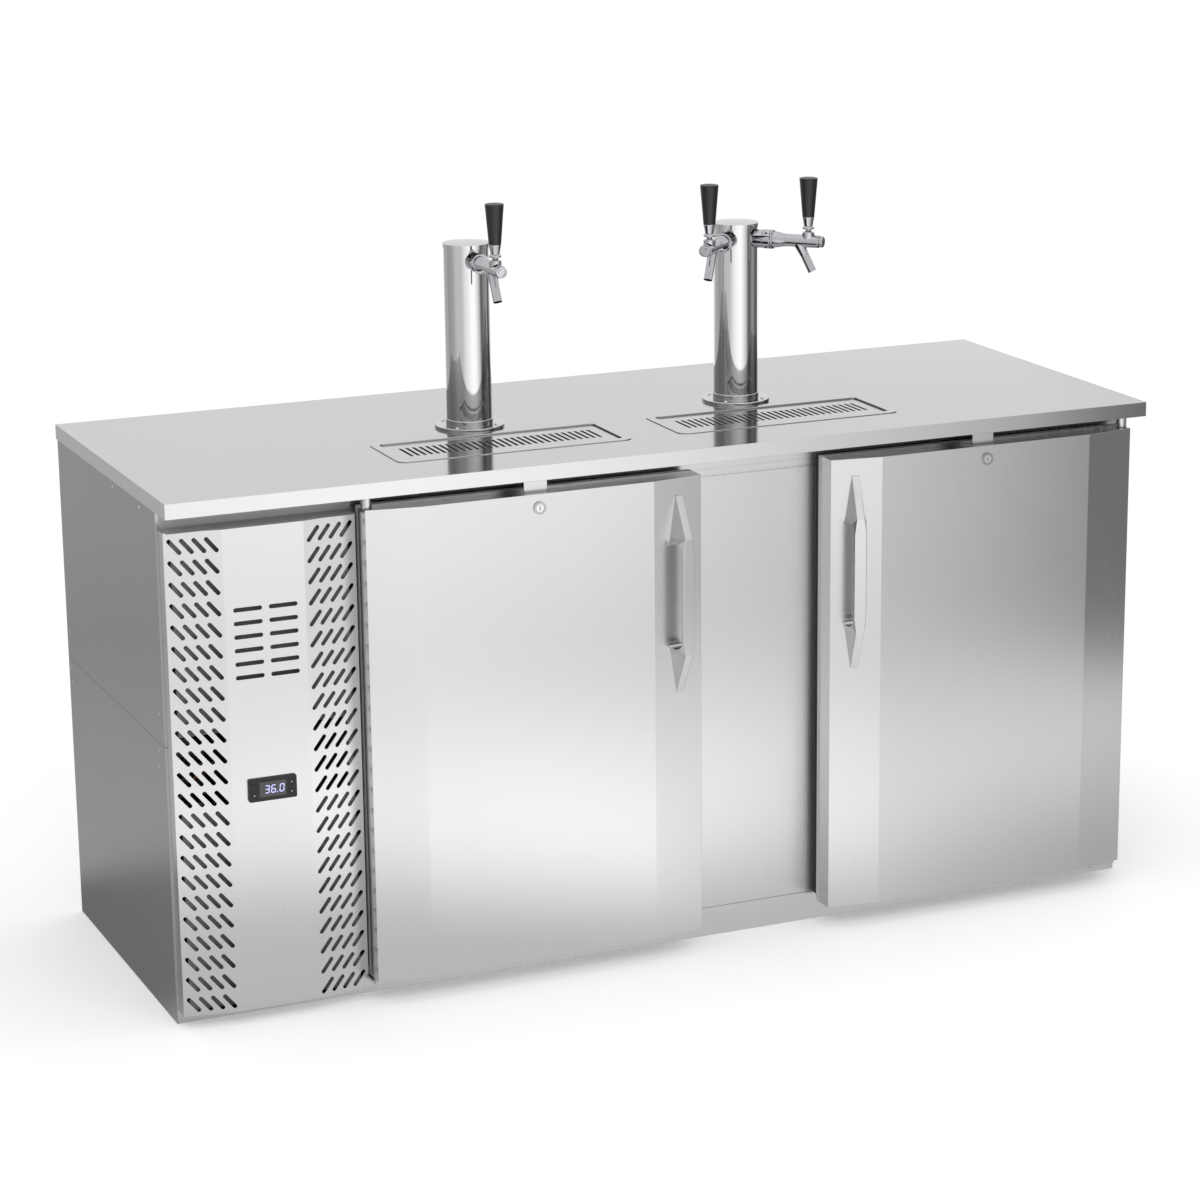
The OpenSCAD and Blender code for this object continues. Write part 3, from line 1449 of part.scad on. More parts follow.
// Pipe along points whose runs follow the axes
module bent_pipe(path) {
    last = len(path) - 1;
    ways = [for (i = [0:last - 1]) (path[i + 1] - path[i]) / norm(path[i + 1] - path[i])];
    for (i = [0:last - 1]) {
        pipe_run(path[i] + (i > 0 ? pipe_bend : 0) * ways[i],
            path[i + 1] - (i < last - 1 ? pipe_bend : 0) * ways[i]);
        if (i < last - 1) pipe_corner(path[i + 1], ways[i], ways[i + 1]);
    }
}

module refrigerant_lines() {
    port_z = compressor_top + port_h;
    inlet_x = condenser_x - condenser_w / 2 + inlet_in;
    inlet = [inlet_x, condenser_y + coil_t / 2, sheet + condenser_h + port_h];
    over_z = inlet.z + pipe_over;
    discharge_x = compressor_x - port_x;
    suction_x = compressor_x + port_x;
    coil_x = evaporator_x - evaporator_w / 2 + sheet + fit_clear;
    color("peru") {
        bent_pipe([[discharge_x, compressor_y, port_z], [discharge_x, compressor_y, over_z],
            [discharge_x, inlet.y, over_z], [inlet.x, inlet.y, over_z], inlet]);
        bent_pipe([[suction_x, compressor_y, port_z], [suction_x, compressor_y, evaporator_mid_z],
            [suction_x, suction_y, evaporator_mid_z], [coil_x, suction_y, evaporator_mid_z]]);
    }
}

base_pan();
insulated_floor();
insulated_back();
insulated_right_wall();
insulated_partition();
insulated_ceiling();
worktop_core();
front_top_rail();
centre_mullion();
side_panel_upper();
side_panel_lower();
side_panel_screws();
rear_vent_panel();
cord_gland();
front_grille();
worktop();
drip_trays();
tower_bases();
tower_columns();
tower_caps();
tower_screws();
faucet_shanks();
coupling_nuts();
faucet_bodies();
lock_strikes();
hinge_brackets();
controller_housing();
display_window();
compressor();
condenser_coil();
condenser_shroud();
refrigerant_lines();
evaporator_coil();
evaporator_cover();
door_left_skin();
door_left_liner();
door_left_gasket();
door_left_handle();
lock_left_housing();
lock_left_plug();
door_right_skin();
door_right_liner();
door_right_gasket();
door_right_handle();
lock_right_housing();
lock_right_plug();
tap_lever_left();
tap_handle_left();
tap_lever_centre();
tap_handle_centre();
tap_lever_right();
tap_handle_right();
drip_grate_left();
drip_grate_right();
condenser_fan();
evaporator_fan();
key_set();
key_lamp();
key_up();
key_down();
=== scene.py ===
import math

import bmesh
import bpy
from mathutils import Matrix, Vector


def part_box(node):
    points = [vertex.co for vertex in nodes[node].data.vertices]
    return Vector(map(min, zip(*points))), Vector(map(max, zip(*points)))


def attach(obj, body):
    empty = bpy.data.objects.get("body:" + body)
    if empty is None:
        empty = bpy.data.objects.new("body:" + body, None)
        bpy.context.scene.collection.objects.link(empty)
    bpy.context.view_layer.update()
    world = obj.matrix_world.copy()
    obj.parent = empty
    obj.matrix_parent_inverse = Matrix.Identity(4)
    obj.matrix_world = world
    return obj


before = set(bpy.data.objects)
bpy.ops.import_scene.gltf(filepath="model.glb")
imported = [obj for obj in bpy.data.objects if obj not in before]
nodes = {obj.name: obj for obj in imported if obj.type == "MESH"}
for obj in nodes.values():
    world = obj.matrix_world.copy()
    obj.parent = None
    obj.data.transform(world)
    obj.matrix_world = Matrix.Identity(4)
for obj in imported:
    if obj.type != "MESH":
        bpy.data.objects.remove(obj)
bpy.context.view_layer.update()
mm = 0.001
print("frame loaded:", len(nodes), "nodes")

# Camera, fitted to the corners of the cabinet in a 1200 x 1200 picture
photoCamera = {
    "place": (-2.28621, -5.30195, 2.09439),
    "yaw": 24.464,  # degrees to the right of +Y
    "pitch": 15.067,  # degrees down
    "roll": -0.298,
    "lens": 103.371,  # mm
    "sensor": 36,  # mm
    "shift": -0.0625,  # of the picture's width
    "farClip": 100,  # m
}


def setCamera():
    data = bpy.data.cameras.new("photoCamera")
    data.sensor_width = photoCamera["sensor"]
    data.lens = photoCamera["lens"]
    data.shift_x = photoCamera["shift"]
    data.clip_end = photoCamera["farClip"]
    yaw, pitch, roll = (math.radians(photoCamera[key]) for key in ("yaw", "pitch", "roll"))
    turn = Matrix.Rotation(-yaw, 4, "Z") @ Matrix.Rotation(math.pi / 2 - pitch, 4, "X")
    turn = turn @ Matrix.Rotation(roll, 4, "Z")
    camera = bpy.data.objects.new("photoCamera", data)
    camera.matrix_world = Matrix.Translation(photoCamera["place"]) @ turn
    bpy.context.scene.collection.objects.link(camera)
    bpy.context.scene.camera = camera


setCamera()
print("camera set")


# Small helpers for colours, nodes and materials
def linear(hexColour):
    parts = [int(hexColour[i:i + 2], 16) / 255 for i in (1, 3, 5)]
    return [c / 12.92 if c <= 0.04045 else ((c + 0.055) / 1.055) ** 2.4 for c in parts] + [1]


def put(tree, kind, inputs=None, **settings):
    node = tree.nodes.new("ShaderNode" + kind)
    for name, value in settings.items():
        setattr(node, name, value)
    for socket, value in (inputs or {}).items():
        if isinstance(value, bpy.types.NodeSocket):
            tree.links.new(value, node.inputs[socket])
        else:
            node.inputs[socket].default_value = value
    return node


def startMaterial(name, sockets):
    material = bpy.data.materials.new(name)
    material.use_nodes = True
    tree = material.node_tree
    tree.nodes.clear()
    shader = put(tree, "BsdfPrincipled", sockets)
    put(tree, "OutputMaterial", {"Surface": shader.outputs[0]})
    return material, tree, shader


# Studio: white floor, soft light from the front and the top
studio = {
    "floorColour": "#F0F0F0",
    "floorRough": 0.9,
    "floorSpecular": 0.2,
    "floorHalf": 14.0,  # m
    "floorDrop": 0.3,  # mm under the part
    "floorGlow": 0.2,  # brings the open floor up to the white of the backdrop
    "ambient": 0.92,
}
lamps = {
    "frontSoftbox": {
        "place": (-0.5, -2.6, 2.4),
        "aim": (-0.1, -0.6, 0.4),
        "size": (2.6, 0.9),
        "watts": 16,
        "mirrored": True,
    },
    "topSoftbox": {
        "place": (0.3, 0.2, 3.4),
        "aim": (0.0, 0.1, 0.8),
        "size": (2.0, 1.2),
        "watts": 8,
        "mirrored": False,  # so that the worktop stays even from above
    },
}
# Reflector cards that only glossy rays see, glowing with painted light and shade: a wall round the part, and a
# sheet on the floor
cards = {
    "radius": 2.3,  # m
    "steps": 180,
    "heights": (0, 0.1, 0.2, 0.3, 0.6, 0.9, 1.1, 1.135, 1.17, 1.205, 1.24, 1.62, 1.66, 1.7, 1.75, 1.78, 1.86,
                1.95, 3.6),  # m, closer where the tone changes
    "firstReach": 0.15,  # m from the middle of the sheet
    "reachStep": 0.0895,
    "reaches": 25,
    "sheetLift": 0.2,  # mm
    # The wall's lower part, by degrees to the right of the front
    "lowTones": {
        -180: 1.0, -168: 0.72, -158: 0.54, -136: 0.54, -122: 0.42, -95: 0.5, -80: 0.7, -66: 0.75, -53: 0.72,
        -36: 1.07, -15: 1.36, 0: 1.47, 6: 1.46, 14: 1.37, 21: 1.2, 28: 0.98, 35: 0.8, 40: 0.62, 45: 0.26,
        52: 0.15, 62: 0.2, 73: 0.4, 84: 0.3, 95: 0.15, 112: 0.13, 122: 0.35, 132: 0.95, 180: 1.0,
    },
    "foot": {0.0: 0.78, 0.3: 1.0},  # of the low tone, by m above the floor
    "cardTop": (1.1, 1.24),  # m, where the lower part ends
    "highTones": {-180: 0.86, 12: 0.86, 30: 0.9, 95: 1.0, 108: 0.86, 180: 0.86},
    "roofTone": 0.86,
    "roofEdge": (1.7, 1.95),
    # The upper part as it shows in two mirrors
    "twoMirrors": 1.5,  # reflections; more than this is two
    "deepGlow": 0.48,  # of the low tone
    "deepDark": 0.01,
    "deepEdge": (1.62, 1.75),
    # The pool of light on the sheet: by m to the right, and poolFar by m to the front
    "poolPeak": {-0.6: 1.52, 0.15: 1.62, 0.5: 1.33, 0.95: 1.09, 1.7: 0.95},
    "poolEdge": {-0.7: 1.08, -0.4: 1.0, -0.1: 0.79, 0.15: 0.68, 0.4: 0.68, 0.9: 0.82},  # m to the front
    # The near tone: painted shadow of the part, close in front of it, by m to the right
    "nearShadow": {-0.6: 0.76, 0.2: 0.77, 0.9: 0.6},
    "poolFar": {1.35: 1.0, 2.2: 0.66},
    "poolRise": (0.38, 0.3),  # m before and past the pool's edge
    "poolStart": (0.1, 0.42),  # m to the front
    # The rest of the sheet: darker on the left, by m to the back
    "leftSheet": {0.42: 0.26, 0.56: 0.6, 1.6: 0.5},
    "leftEnd": (-0.9, -0.3),  # m to the right
    "plainSheet": 0.75,
}


def along(table, value):
    places = sorted(table)
    if value <= places[0]:
        return table[places[0]]
    for low, high in zip(places, places[1:]):
        if value <= high:
            return table[low] + (table[high] - table[low]) * (value - low) / (high - low)
    return table[places[-1]]


def ease(low, high, value):
    t = min(max((value - low) / (high - low), 0), 1)
    return t * t * (3 - 2 * t)


def wallTone(angle, z, deep):
    low = along(cards["lowTones"], angle) * along(cards["foot"], z)
    if deep:
        high = cards["deepGlow"] * low
        high += (cards["deepDark"] - high) * ease(*cards["deepEdge"], z)
    else:
        high = along(cards["highTones"], angle)
        high += (cards["roofTone"] - high) * ease(*cards["roofEdge"], z)
    return low + (high - low) * ease(*cards["cardTop"], z)


def sheetTone(x, y):
    # Close in front of the part the sheet holds painted shadow, rising to the pool of light further out
    near = along(cards["nearShadow"], x)
    edge = along(cards["poolEdge"], x)
    before, past = cards["poolRise"]
    front = near + (along(cards["poolPeak"], x) - near) * ease(edge - before, edge + past, -y)
    front *= along(cards["poolFar"], -y)
    beside = along(cards["leftSheet"], y)
    beside += (cards["plainSheet"] - beside) * ease(*cards["leftEnd"], x)
    return beside + (front - beside) * ease(*cards["poolStart"], -y)


def lightWorld():
    world = bpy.data.worlds.new("studioWhite")
    world.use_nodes = True
    tree = world.node_tree
    tree.nodes.clear()
    path = put(tree, "LightPath").outputs
    seen = put(tree, "Math", {0: path["Is Camera Ray"], 1: path["Is Glossy Ray"]}, operation="MAXIMUM")
    seen = put(tree, "Math", {0: seen.outputs[0], 1: path["Is Transmission Ray"]}, operation="MAXIMUM")
    level = put(tree, "MapRange", {"Value": seen.outputs[0], "To Min": studio["ambient"], "To Max": 1.0})
    glow = put(tree, "Background", {"Color": (1, 1, 1, 1), "Strength": level.outputs[0]})
    put(tree, "OutputWorld", {"Surface": glow.outputs[0]})
    bpy.context.scene.world = world


# Matt paper: an even white that takes soft shadows
def layFloor():
    material = startMaterial("whiteFloorPaper", {
        "Base Color": linear(studio["floorColour"]), "Roughness": studio["floorRough"],
        "Specular IOR Level": studio["floorSpecular"],
        "Emission Color": (1, 1, 1, 1), "Emission Strength": studio["floorGlow"]})[0]
    mesh = bpy.data.meshes.new("studioFloor")
    half = studio["floorHalf"]
    corners = [(-half, -half, 0), (half, -half, 0), (half, half, 0), (-half, half, 0)]
    mesh.from_pydata(corners, [], [(0, 1, 2, 3)])
    mesh.materials.append(material)
    floor = bpy.data.objects.new("studioFloor", mesh)
    floor.location.z = -studio["floorDrop"] * mm
    bpy.context.scene.collection.objects.link(floor)


def hangLamps():
    for name, lamp in lamps.items():
        data = bpy.data.lights.new(name, "AREA")
        data.shape = "RECTANGLE"
        data.size, data.size_y = lamp["size"]
        data.energy = lamp["watts"]
        holder = bpy.data.objects.new(name, data)
        holder.location = lamp["place"]
        beam = Vector(lamp["aim"]) - Vector(lamp["place"])
        holder.rotation_euler = beam.to_track_quat("-Z", "Y").to_euler()
        holder.visible_glossy = lamp["mirrored"]
        bpy.context.scene.collection.objects.link(holder)


# Glowing card with painted light and shade, standing in for a lit white wall and floor: red holds the tone in
# one mirror, green the tone in two
def paintCardGlow():
    cardGlow = bpy.data.materials.new("paintedLightCard")
    cardGlow.use_nodes = True
    cardGlow.cycles.emission_sampling = "NONE"
    tree = cardGlow.node_tree
    tree.nodes.clear()
    paint = put(tree, "Attribute", attribute_name="tone")
    tone = put(tree, "SeparateColor", {"Color": paint.outputs["Color"]})
    depth = put(tree, "LightPath").outputs["Glossy Depth"]
    again = put(tree, "Math", {0: depth, 1: cards["twoMirrors"]}, operation="GREATER_THAN")
    level = put(tree, "Mix", {0: again.outputs[0], 2: tone.outputs["Red"], 3: tone.outputs["Green"]})
    glow = put(tree, "Emission", {"Strength": level.outputs[0]})
    put(tree, "OutputMaterial", {"Surface": glow.outputs[0]})
    return cardGlow


def standCards():
    cardGlow = paintCardGlow()
    steps, heights = cards["steps"], cards["heights"]
    reaches = [cards["firstReach"] + cards["reachStep"] * i for i in range(cards["reaches"])]
    lift = Vector((0, 0, cards["sheetLift"] * mm))
    wall, wallTones, sheet, sheetTones = [], [], [], []
    for k in range(steps + 1):
        turn = math.tau * k / steps - math.pi
        way = Vector((math.sin(turn), -math.cos(turn), 0))
        for z in heights:
            wall.append(way * cards["radius"] + Vector((0, 0, z)))
            wallTones.append([wallTone(math.degrees(turn), z, deep) for deep in (False, True)])
        for reach in reaches:
            sheet.append(way * reach + lift)
            sheetTones.append([sheetTone(*(way * reach).xy)] * 2)
    for name, points, tones, row in (("wallCard", wall, wallTones, len(heights)),
                                     ("floorCard", sheet, sheetTones, len(reaches))):
        faces = [(k * row + i, (k + 1) * row + i, (k + 1) * row + i + 1, k * row + i + 1)
                 for k in range(steps) for i in range(row - 1)]
        mesh = bpy.data.meshes.new(name)
        mesh.from_pydata(points, [], faces)
        paint = mesh.color_attributes.new("tone", "FLOAT_COLOR", "POINT")
        for spot, (first, deep) in zip(paint.data, tones):
            spot.color = (first, deep, 0, 1)
        mesh.materials.append(cardGlow)
        card = bpy.data.objects.new(name, mesh)
        for ray in ("camera", "diffuse", "shadow", "transmission"):
            setattr(card, "visible_" + ray, False)
        bpy.context.scene.collection.objects.link(card)


lightWorld()
layFloor()
hangLamps()
standCards()
bpy.context.scene.view_settings.view_transform = "Standard"
print("studio lit")

# Stainless sheet, brushed with a belt: fine straight lines that stretch reflections across the grain
brushing = {
    "lineWidth": 0.9,  # mm; real lines are about 0.1 mm, drawn coarser so that they show
    "lineLength": 500,
    "marks": 250,  # mm, the size of handling marks
    "anisotropy": 0.5,
    "lineGloss": 0.01,  # roughness, up and down
    "markGloss": 0.012,
    "tones": (0.985, 1.01),
    "relief": 0.03,  # mm
    "reliefShare": 0.006,
}


def brushedSteel(name, colour, rough, grain, edge):
    material, tree, shader = startMaterial(name, {"Metallic": 1.0, "Anisotropic": brushing["anisotropy"]})
    place = put(tree, "TexCoord").outputs["Object"]
    scale = [1 / (mm * brushing["lineLength" if axis == grain else "lineWidth"]) for axis in "XYZ"]
    lines = put(tree, "Mapping", {"Vector": place, "Scale": scale})
    streak = put(tree, "TexNoise", {"Vector": lines.outputs[0], "Scale": 1.0, "Detail": 2.0, "Roughness": 0.6})
    cloud = put(tree, "TexNoise", {"Vector": place, "Scale": 1 / (brushing["marks"] * mm), "Detail": 3.0})
    sheen = put(tree, "MapRange", {"Value": streak.outputs[0], "From Min": 0.3, "From Max": 0.7,
                                   "To Min": rough - brushing["lineGloss"],
                                   "To Max": rough + brushing["lineGloss"]})
    marks = put(tree, "MapRange", {"Value": cloud.outputs[0], "From Min": 0.3, "From Max": 0.7,
                                   "To Min": -brushing["markGloss"], "To Max": brushing["markGloss"]})
    gloss = put(tree, "Math", {0: sheen.outputs[0], 1: marks.outputs[0]}, operation="ADD")
    darkest, palest = brushing["tones"]
    tone = put(tree, "MapRange", {"Value": streak.outputs[0], "From Min": 0.25, "From Max": 0.75,
                                  "To Min": darkest, "To Max": palest})
    paint = put(tree, "VectorMath", {0: linear(colour)[:3], "Scale": tone.outputs[0]}, operation="SCALE")
    softEdge = put(tree, "Bevel", {"Radius": edge * mm}, samples=4)
    bump = put(tree, "Bump", {"Height": streak.outputs[0], "Strength": brushing["reliefShare"],
                              "Distance": brushing["relief"] * mm, "Normal": softEdge.outputs[0]})
    across = put(tree, "Tangent", direction_type="RADIAL", axis="X" if grain == "X" else "Z")
    for socket, source in (("Base Color", paint), ("Roughness", gloss), ("Normal", bump), ("Tangent", across)):
        tree.links.new(source.outputs[0], shader.inputs[socket])
    return material


# Polished or plated metal: clear reflections with a trace of buffing haze
polishing = {
    "clouds": 12,  # mm, the size of the haze
    "clearest": 0.6,  # of the roughness
    "dullest": 1.5,
    "edge": 0.4,  # mm
}


def polishedSteel(name, colour, rough):
    material, tree, shader = startMaterial(name, {"Base Color": linear(colour), "Metallic": 1.0})
    place = put(tree, "TexCoord").outputs["Object"]
    haze = put(tree, "TexNoise", {"Vector": place, "Scale": 1 / (polishing["clouds"] * mm), "Detail": 3.0})
    gloss = put(tree, "MapRange", {"Value": haze.outputs[0], "From Min": 0.3, "From Max": 0.7,
                                   "To Min": rough * polishing["clearest"],
                                   "To Max": rough * polishing["dullest"]})
    softEdge = put(tree, "Bevel", {"Radius": polishing["edge"] * mm}, samples=4)
    tree.links.new(gloss.outputs[0], shader.inputs["Roughness"])
    tree.links.new(softEdge.outputs[0], shader.inputs["Normal"])
    return material


# Moulded, painted and bare surfaces: one grain in mm, one spread of tone, one relief in mm
plainWork = {
    "gloss": 0.04,  # roughness, up and down
    "reliefShare": 0.25,
    "edge": 0.5,  # mm
}


def plainFinish(name, colour, rough, grainSize, spread, depth, **sockets):
    material, tree, shader = startMaterial(name, sockets)
    place = put(tree, "TexCoord").outputs["Object"]
    grain = put(tree, "TexNoise", {"Vector": place, "Scale": 1 / (grainSize * mm), "Detail": 4.0})
    tone = put(tree, "MapRange", {"Value": grain.outputs[0], "From Min": 0.25, "From Max": 0.75,
                                  "To Min": 1 - spread, "To Max": 1 + spread})
    paint = put(tree, "VectorMath", {0: linear(colour)[:3], "Scale": tone.outputs[0]}, operation="SCALE")
    gloss = put(tree, "MapRange", {"Value": grain.outputs[0], "From Min": 0.25, "From Max": 0.75,
                                   "To Min": rough - plainWork["gloss"], "To Max": rough + plainWork["gloss"]})
    softEdge = put(tree, "Bevel", {"Radius": plainWork["edge"] * mm}, samples=4)
    bump = put(tree, "Bump", {"Height": grain.outputs[0], "Strength": plainWork["reliefShare"],
                              "Distance": depth * mm, "Normal": softEdge.outputs[0]})
    for socket, source in (("Base Color", paint), ("Roughness", gloss), ("Normal", bump)):
        tree.links.new(source.outputs[0], shader.inputs[socket])
    return material


finishes = {
    # Front: upright streaks, broad soft reflections
    "brushedFront": brushedSteel("stainlessBrushedUpright", "#CDCDCE", 0.26, "Z", 0.9),
    # Grille: the same sheet with crisp slot edges
    "brushedGrille": brushedSteel("stainlessBrushedPerforated", "#CDCDCE", 0.26, "Z", 0.3),
    # Worktop and trays: lengthwise lines, clearer reflections
    "brushedTop": brushedSteel("stainlessBrushedLengthwise", "#CDCECF", 0.12, "X", 1.0),
    # Pulls: satin, with round edges that catch the light
    "handleSteel": brushedSteel("stainlessSatinPull", "#CFCFD0", 0.22, "Z", 1.4),
    # Sides and back: duller and darker than the front
    "sideSteel": brushedSteel("stainlessRolledSide", "#B4B4B4", 0.34, "Z", 1.0),
    # Towers: a clear mirror
    "mirrorSteel": polishedSteel("stainlessMirrorPolished", "#D6D6D8", 0.05),
    # Faucets: a clear mirror, a little darker
    "castChrome": polishedSteel("chromePlatedBrass", "#BDBEC1", 0.06),
    # Compartment: white with a soft gloss
    "linerEnamel": plainFinish("whiteEnamelLiner", "#DCDDDC", 0.32, 30, 0.015, 0.02, IOR=1.5),
    # Doors' insides: pale grey with a fine grain
    "doorAbs": plainFinish("greyAbsMoulded", "#B9BBBC", 0.42, 1.2, 0.02, 0.03, IOR=1.53),
    # Gaskets: black, nearly matt
    "gasketRubber": plainFinish("blackVinylGasket", "#131313", 0.6, 1.5, 0.1, 0.04, IOR=1.5),
    # Tap handles: deep black with a smooth highlight
    "handlePhenolic": plainFinish("blackPhenolicMoulded", "#0C0C0D", 0.34, 6, 0.06, 0.0, IOR=1.55),
    # Controller: black with a fine grain
    "bezelAbs": plainFinish("blackAbsFineGrain", "#171718", 0.6, 0.8, 0.06, 0.02, IOR=1.5),
    # Keys: dark and soft, a shade paler than the bezel
    "keyAbs": plainFinish("darkKeyRubber", "#1B1B1C", 0.55, 0.8, 0.06, 0.03, IOR=1.5),
    # Display: smooth dark grey
    "window": plainFinish("smokedDisplayWindow", "#3C3C3E", 0.12, 8, 0.02, 0.0, IOR=1.49),
    # Compressor and shroud: black, half gloss
    "boxEnamel": plainFinish("blackBakedEnamel", "#151516", 0.35, 2, 0.08, 0.02, IOR=1.5),
    # Coils: dull grey metal
    "fins": plainFinish("aluminiumFinStock", "#8E9092", 0.45, 3, 0.04, 0.02, Metallic=1.0),
    # Lines: brown and tarnished
    "copper": plainFinish("copperTubeAged", "#7C5340", 0.42, 6, 0.1, 0.01, Metallic=1.0),
    # Fans: black, half matt
    "fanNylon": plainFinish("blackNylonFan", "#1C1C1D", 0.5, 1.5, 0.05, 0.02, IOR=1.53),
    # Worktop's core: pale wood
    "board": plainFinish("birchPlyCore", "#C9AE86", 0.6, 4, 0.08, 0.1, IOR=1.5),
    # Strip over the grille: dull grey with a faint spangle, duller than the steel round it so that it paints
    # the worktop's shade
    "galvanisedShade": plainFinish("galvanisedShadeSheet", "#B9BABB", 0.6, 8, 0.05, 0.01, Metallic=0.6),
    # Lock housings: a blurred grey mirror
    "lockNickel": polishedSteel("nickelPlatedLock", "#A9A9AB", 0.12),
    # Fan guard: bright wire
    "guardWire": plainFinish("zincPlatedWire", "#B6B8BA", 0.3, 4, 0.05, 0.01, Metallic=1.0),
    # Filter mats: matt, flecked grey
    "filterMat": plainFinish("greyPolyesterMat", "#767778", 0.95, 5, 0.12, 0.3, IOR=1.5),
    # Marks on the keys: flat pale ink
    "keyPrint": plainFinish("greyPadPrint", "#C9C9CB", 0.5, 0.6, 0.04, 0.0, IOR=1.5),
}
wears = {
    "brushedFront": ["base_pan", "front_top_rail", "centre_mullion", "lock_strikes", "hinge_brackets",
                     "door_left_skin", "door_right_skin"],
    "brushedGrille": ["front_grille"],
    "brushedTop": ["worktop", "drip_trays", "drip_grate_left", "drip_grate_right"],
    "handleSteel": ["door_left_handle", "door_right_handle"],
    "sideSteel": ["side_panel_upper", "side_panel_lower", "insulated_back", "insulated_right_wall",
                  "insulated_partition", "rear_vent_panel"],
    "mirrorSteel": ["tower_bases", "tower_columns", "tower_caps", "tower_screws", "side_panel_screws",
                    "lock_left_plug", "lock_right_plug"],
    "castChrome": ["faucet_shanks", "coupling_nuts", "faucet_bodies", "tap_lever_left", "tap_lever_centre",
                   "tap_lever_right"],
    "lockNickel": ["lock_left_housing", "lock_right_housing"],
    "linerEnamel": ["insulated_floor", "insulated_ceiling", "evaporator_cover"],
    "doorAbs": ["door_left_liner", "door_right_liner"],
    "gasketRubber": ["door_left_gasket", "door_right_gasket"],
    "handlePhenolic": ["tap_handle_left", "tap_handle_centre", "tap_handle_right"],
    "bezelAbs": ["controller_housing", "cord_gland"],
    "keyAbs": ["key_set", "key_lamp", "key_up", "key_down"],
    "window": ["display_window"],
    "boxEnamel": ["compressor", "condenser_shroud"],
    "fins": ["condenser_coil", "evaporator_coil"],
    "copper": ["refrigerant_lines"],
    "fanNylon": ["condenser_fan", "evaporator_fan"],
    "board": ["worktop_core"],
}
for finish, wearers in wears.items():
    for node in wearers:
        nodes[node].data.materials.clear()
        nodes[node].data.materials.append(finishes[finish])
print("finishes on", sum(map(len, wears.values())), "nodes")

# Mesh helpers: a flat plate from its outline, a turned form from its profile, a bent wire from its points
wireSides = 8
offWire = Vector((0.3, 0.5, 0.8))  # a way that no wire runs


def addPlate(shape, outline, depth):
    face = shape.faces.new([shape.verts.new(point) for point in outline])
    grown = bmesh.ops.extrude_face_region(shape, geom=[face])["geom"]
    bmesh.ops.translate(shape, verts=[v for v in grown if isinstance(v, bmesh.types.BMVert)], vec=depth)


def joinRings(shape, low, high):
    count = len(low)
    for k in range(count):
        shape.faces.new((low[k], low[(k + 1) % count], high[(k + 1) % count], high[k]))


def closeEnds(shape, rings):
    shape.faces.new(rings[0][::-1])
    shape.faces.new(rings[-1])


def addTurned(shape, profile, place, steps):
    turns = [math.tau * k / steps for k in range(steps)]
    rings = [[shape.verts.new(place @ Vector((r * math.cos(turn), r * math.sin(turn), h))) for turn in turns]
             for r, h in profile]
    for low, high in zip(rings, rings[1:]):
        joinRings(shape, low, high)
    closeEnds(shape, rings)


def addWire(shape, points, radius, closed):
    turns = [math.tau * k / wireSides for k in range(wireSides)]
    count = len(points)
    rings = []
    for i, point in enumerate(points):
        before = points[i - 1] if closed or i else point
        after = points[(i + 1) % count] if closed or i < count - 1 else point
        run = (after - before).normalized()
        first = run.cross(offWire).normalized()
        second = run.cross(first)
        rings.append([shape.verts.new(point + radius * (first * math.cos(turn) + second * math.sin(turn)))
                      for turn in turns])
    for i in range(count if closed else count - 1):
        joinRings(shape, rings[i], rings[(i + 1) % count])
    if not closed:
        closeEnds(shape, rings)


def finishPiece(name, shape, material, body, smooth):
    bmesh.ops.recalc_face_normals(shape, faces=shape.faces)
    for face in shape.faces:
        face.smooth = smooth
    mesh = bpy.data.meshes.new(name)
    shape.to_mesh(mesh)
    shape.free()
    mesh.materials.append(material)
    piece = bpy.data.objects.new(name, mesh)
    bpy.context.scene.collection.objects.link(piece)
    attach(piece, body)


# Display: slanted seven segment digits, lit, a little proud of the window
displayDigits = {
    "reading": "36.0",
    "height": 11.8,  # mm between the strokes' middles
    "width": 6.3,
    "stroke": 1.5,
    "gap": 0.15,
    "pitch": 10.4,
    "pointHalf": 0.9,
    "pointAway": 3.6,  # mm past the digit before it
    "pointRoom": 3.6,
    "slant": 6,  # degrees
    "firstX": -12.6,  # mm from the window's middle
    "sunk": 0.05,
    "proud": 0.25,
    "colour": "#C9C8FF",
    "rough": 0.4,
    "glow": 0.4,
}
segmentsLit = {"0": "abcdef", "3": "abcdg", "6": "acdefg"}


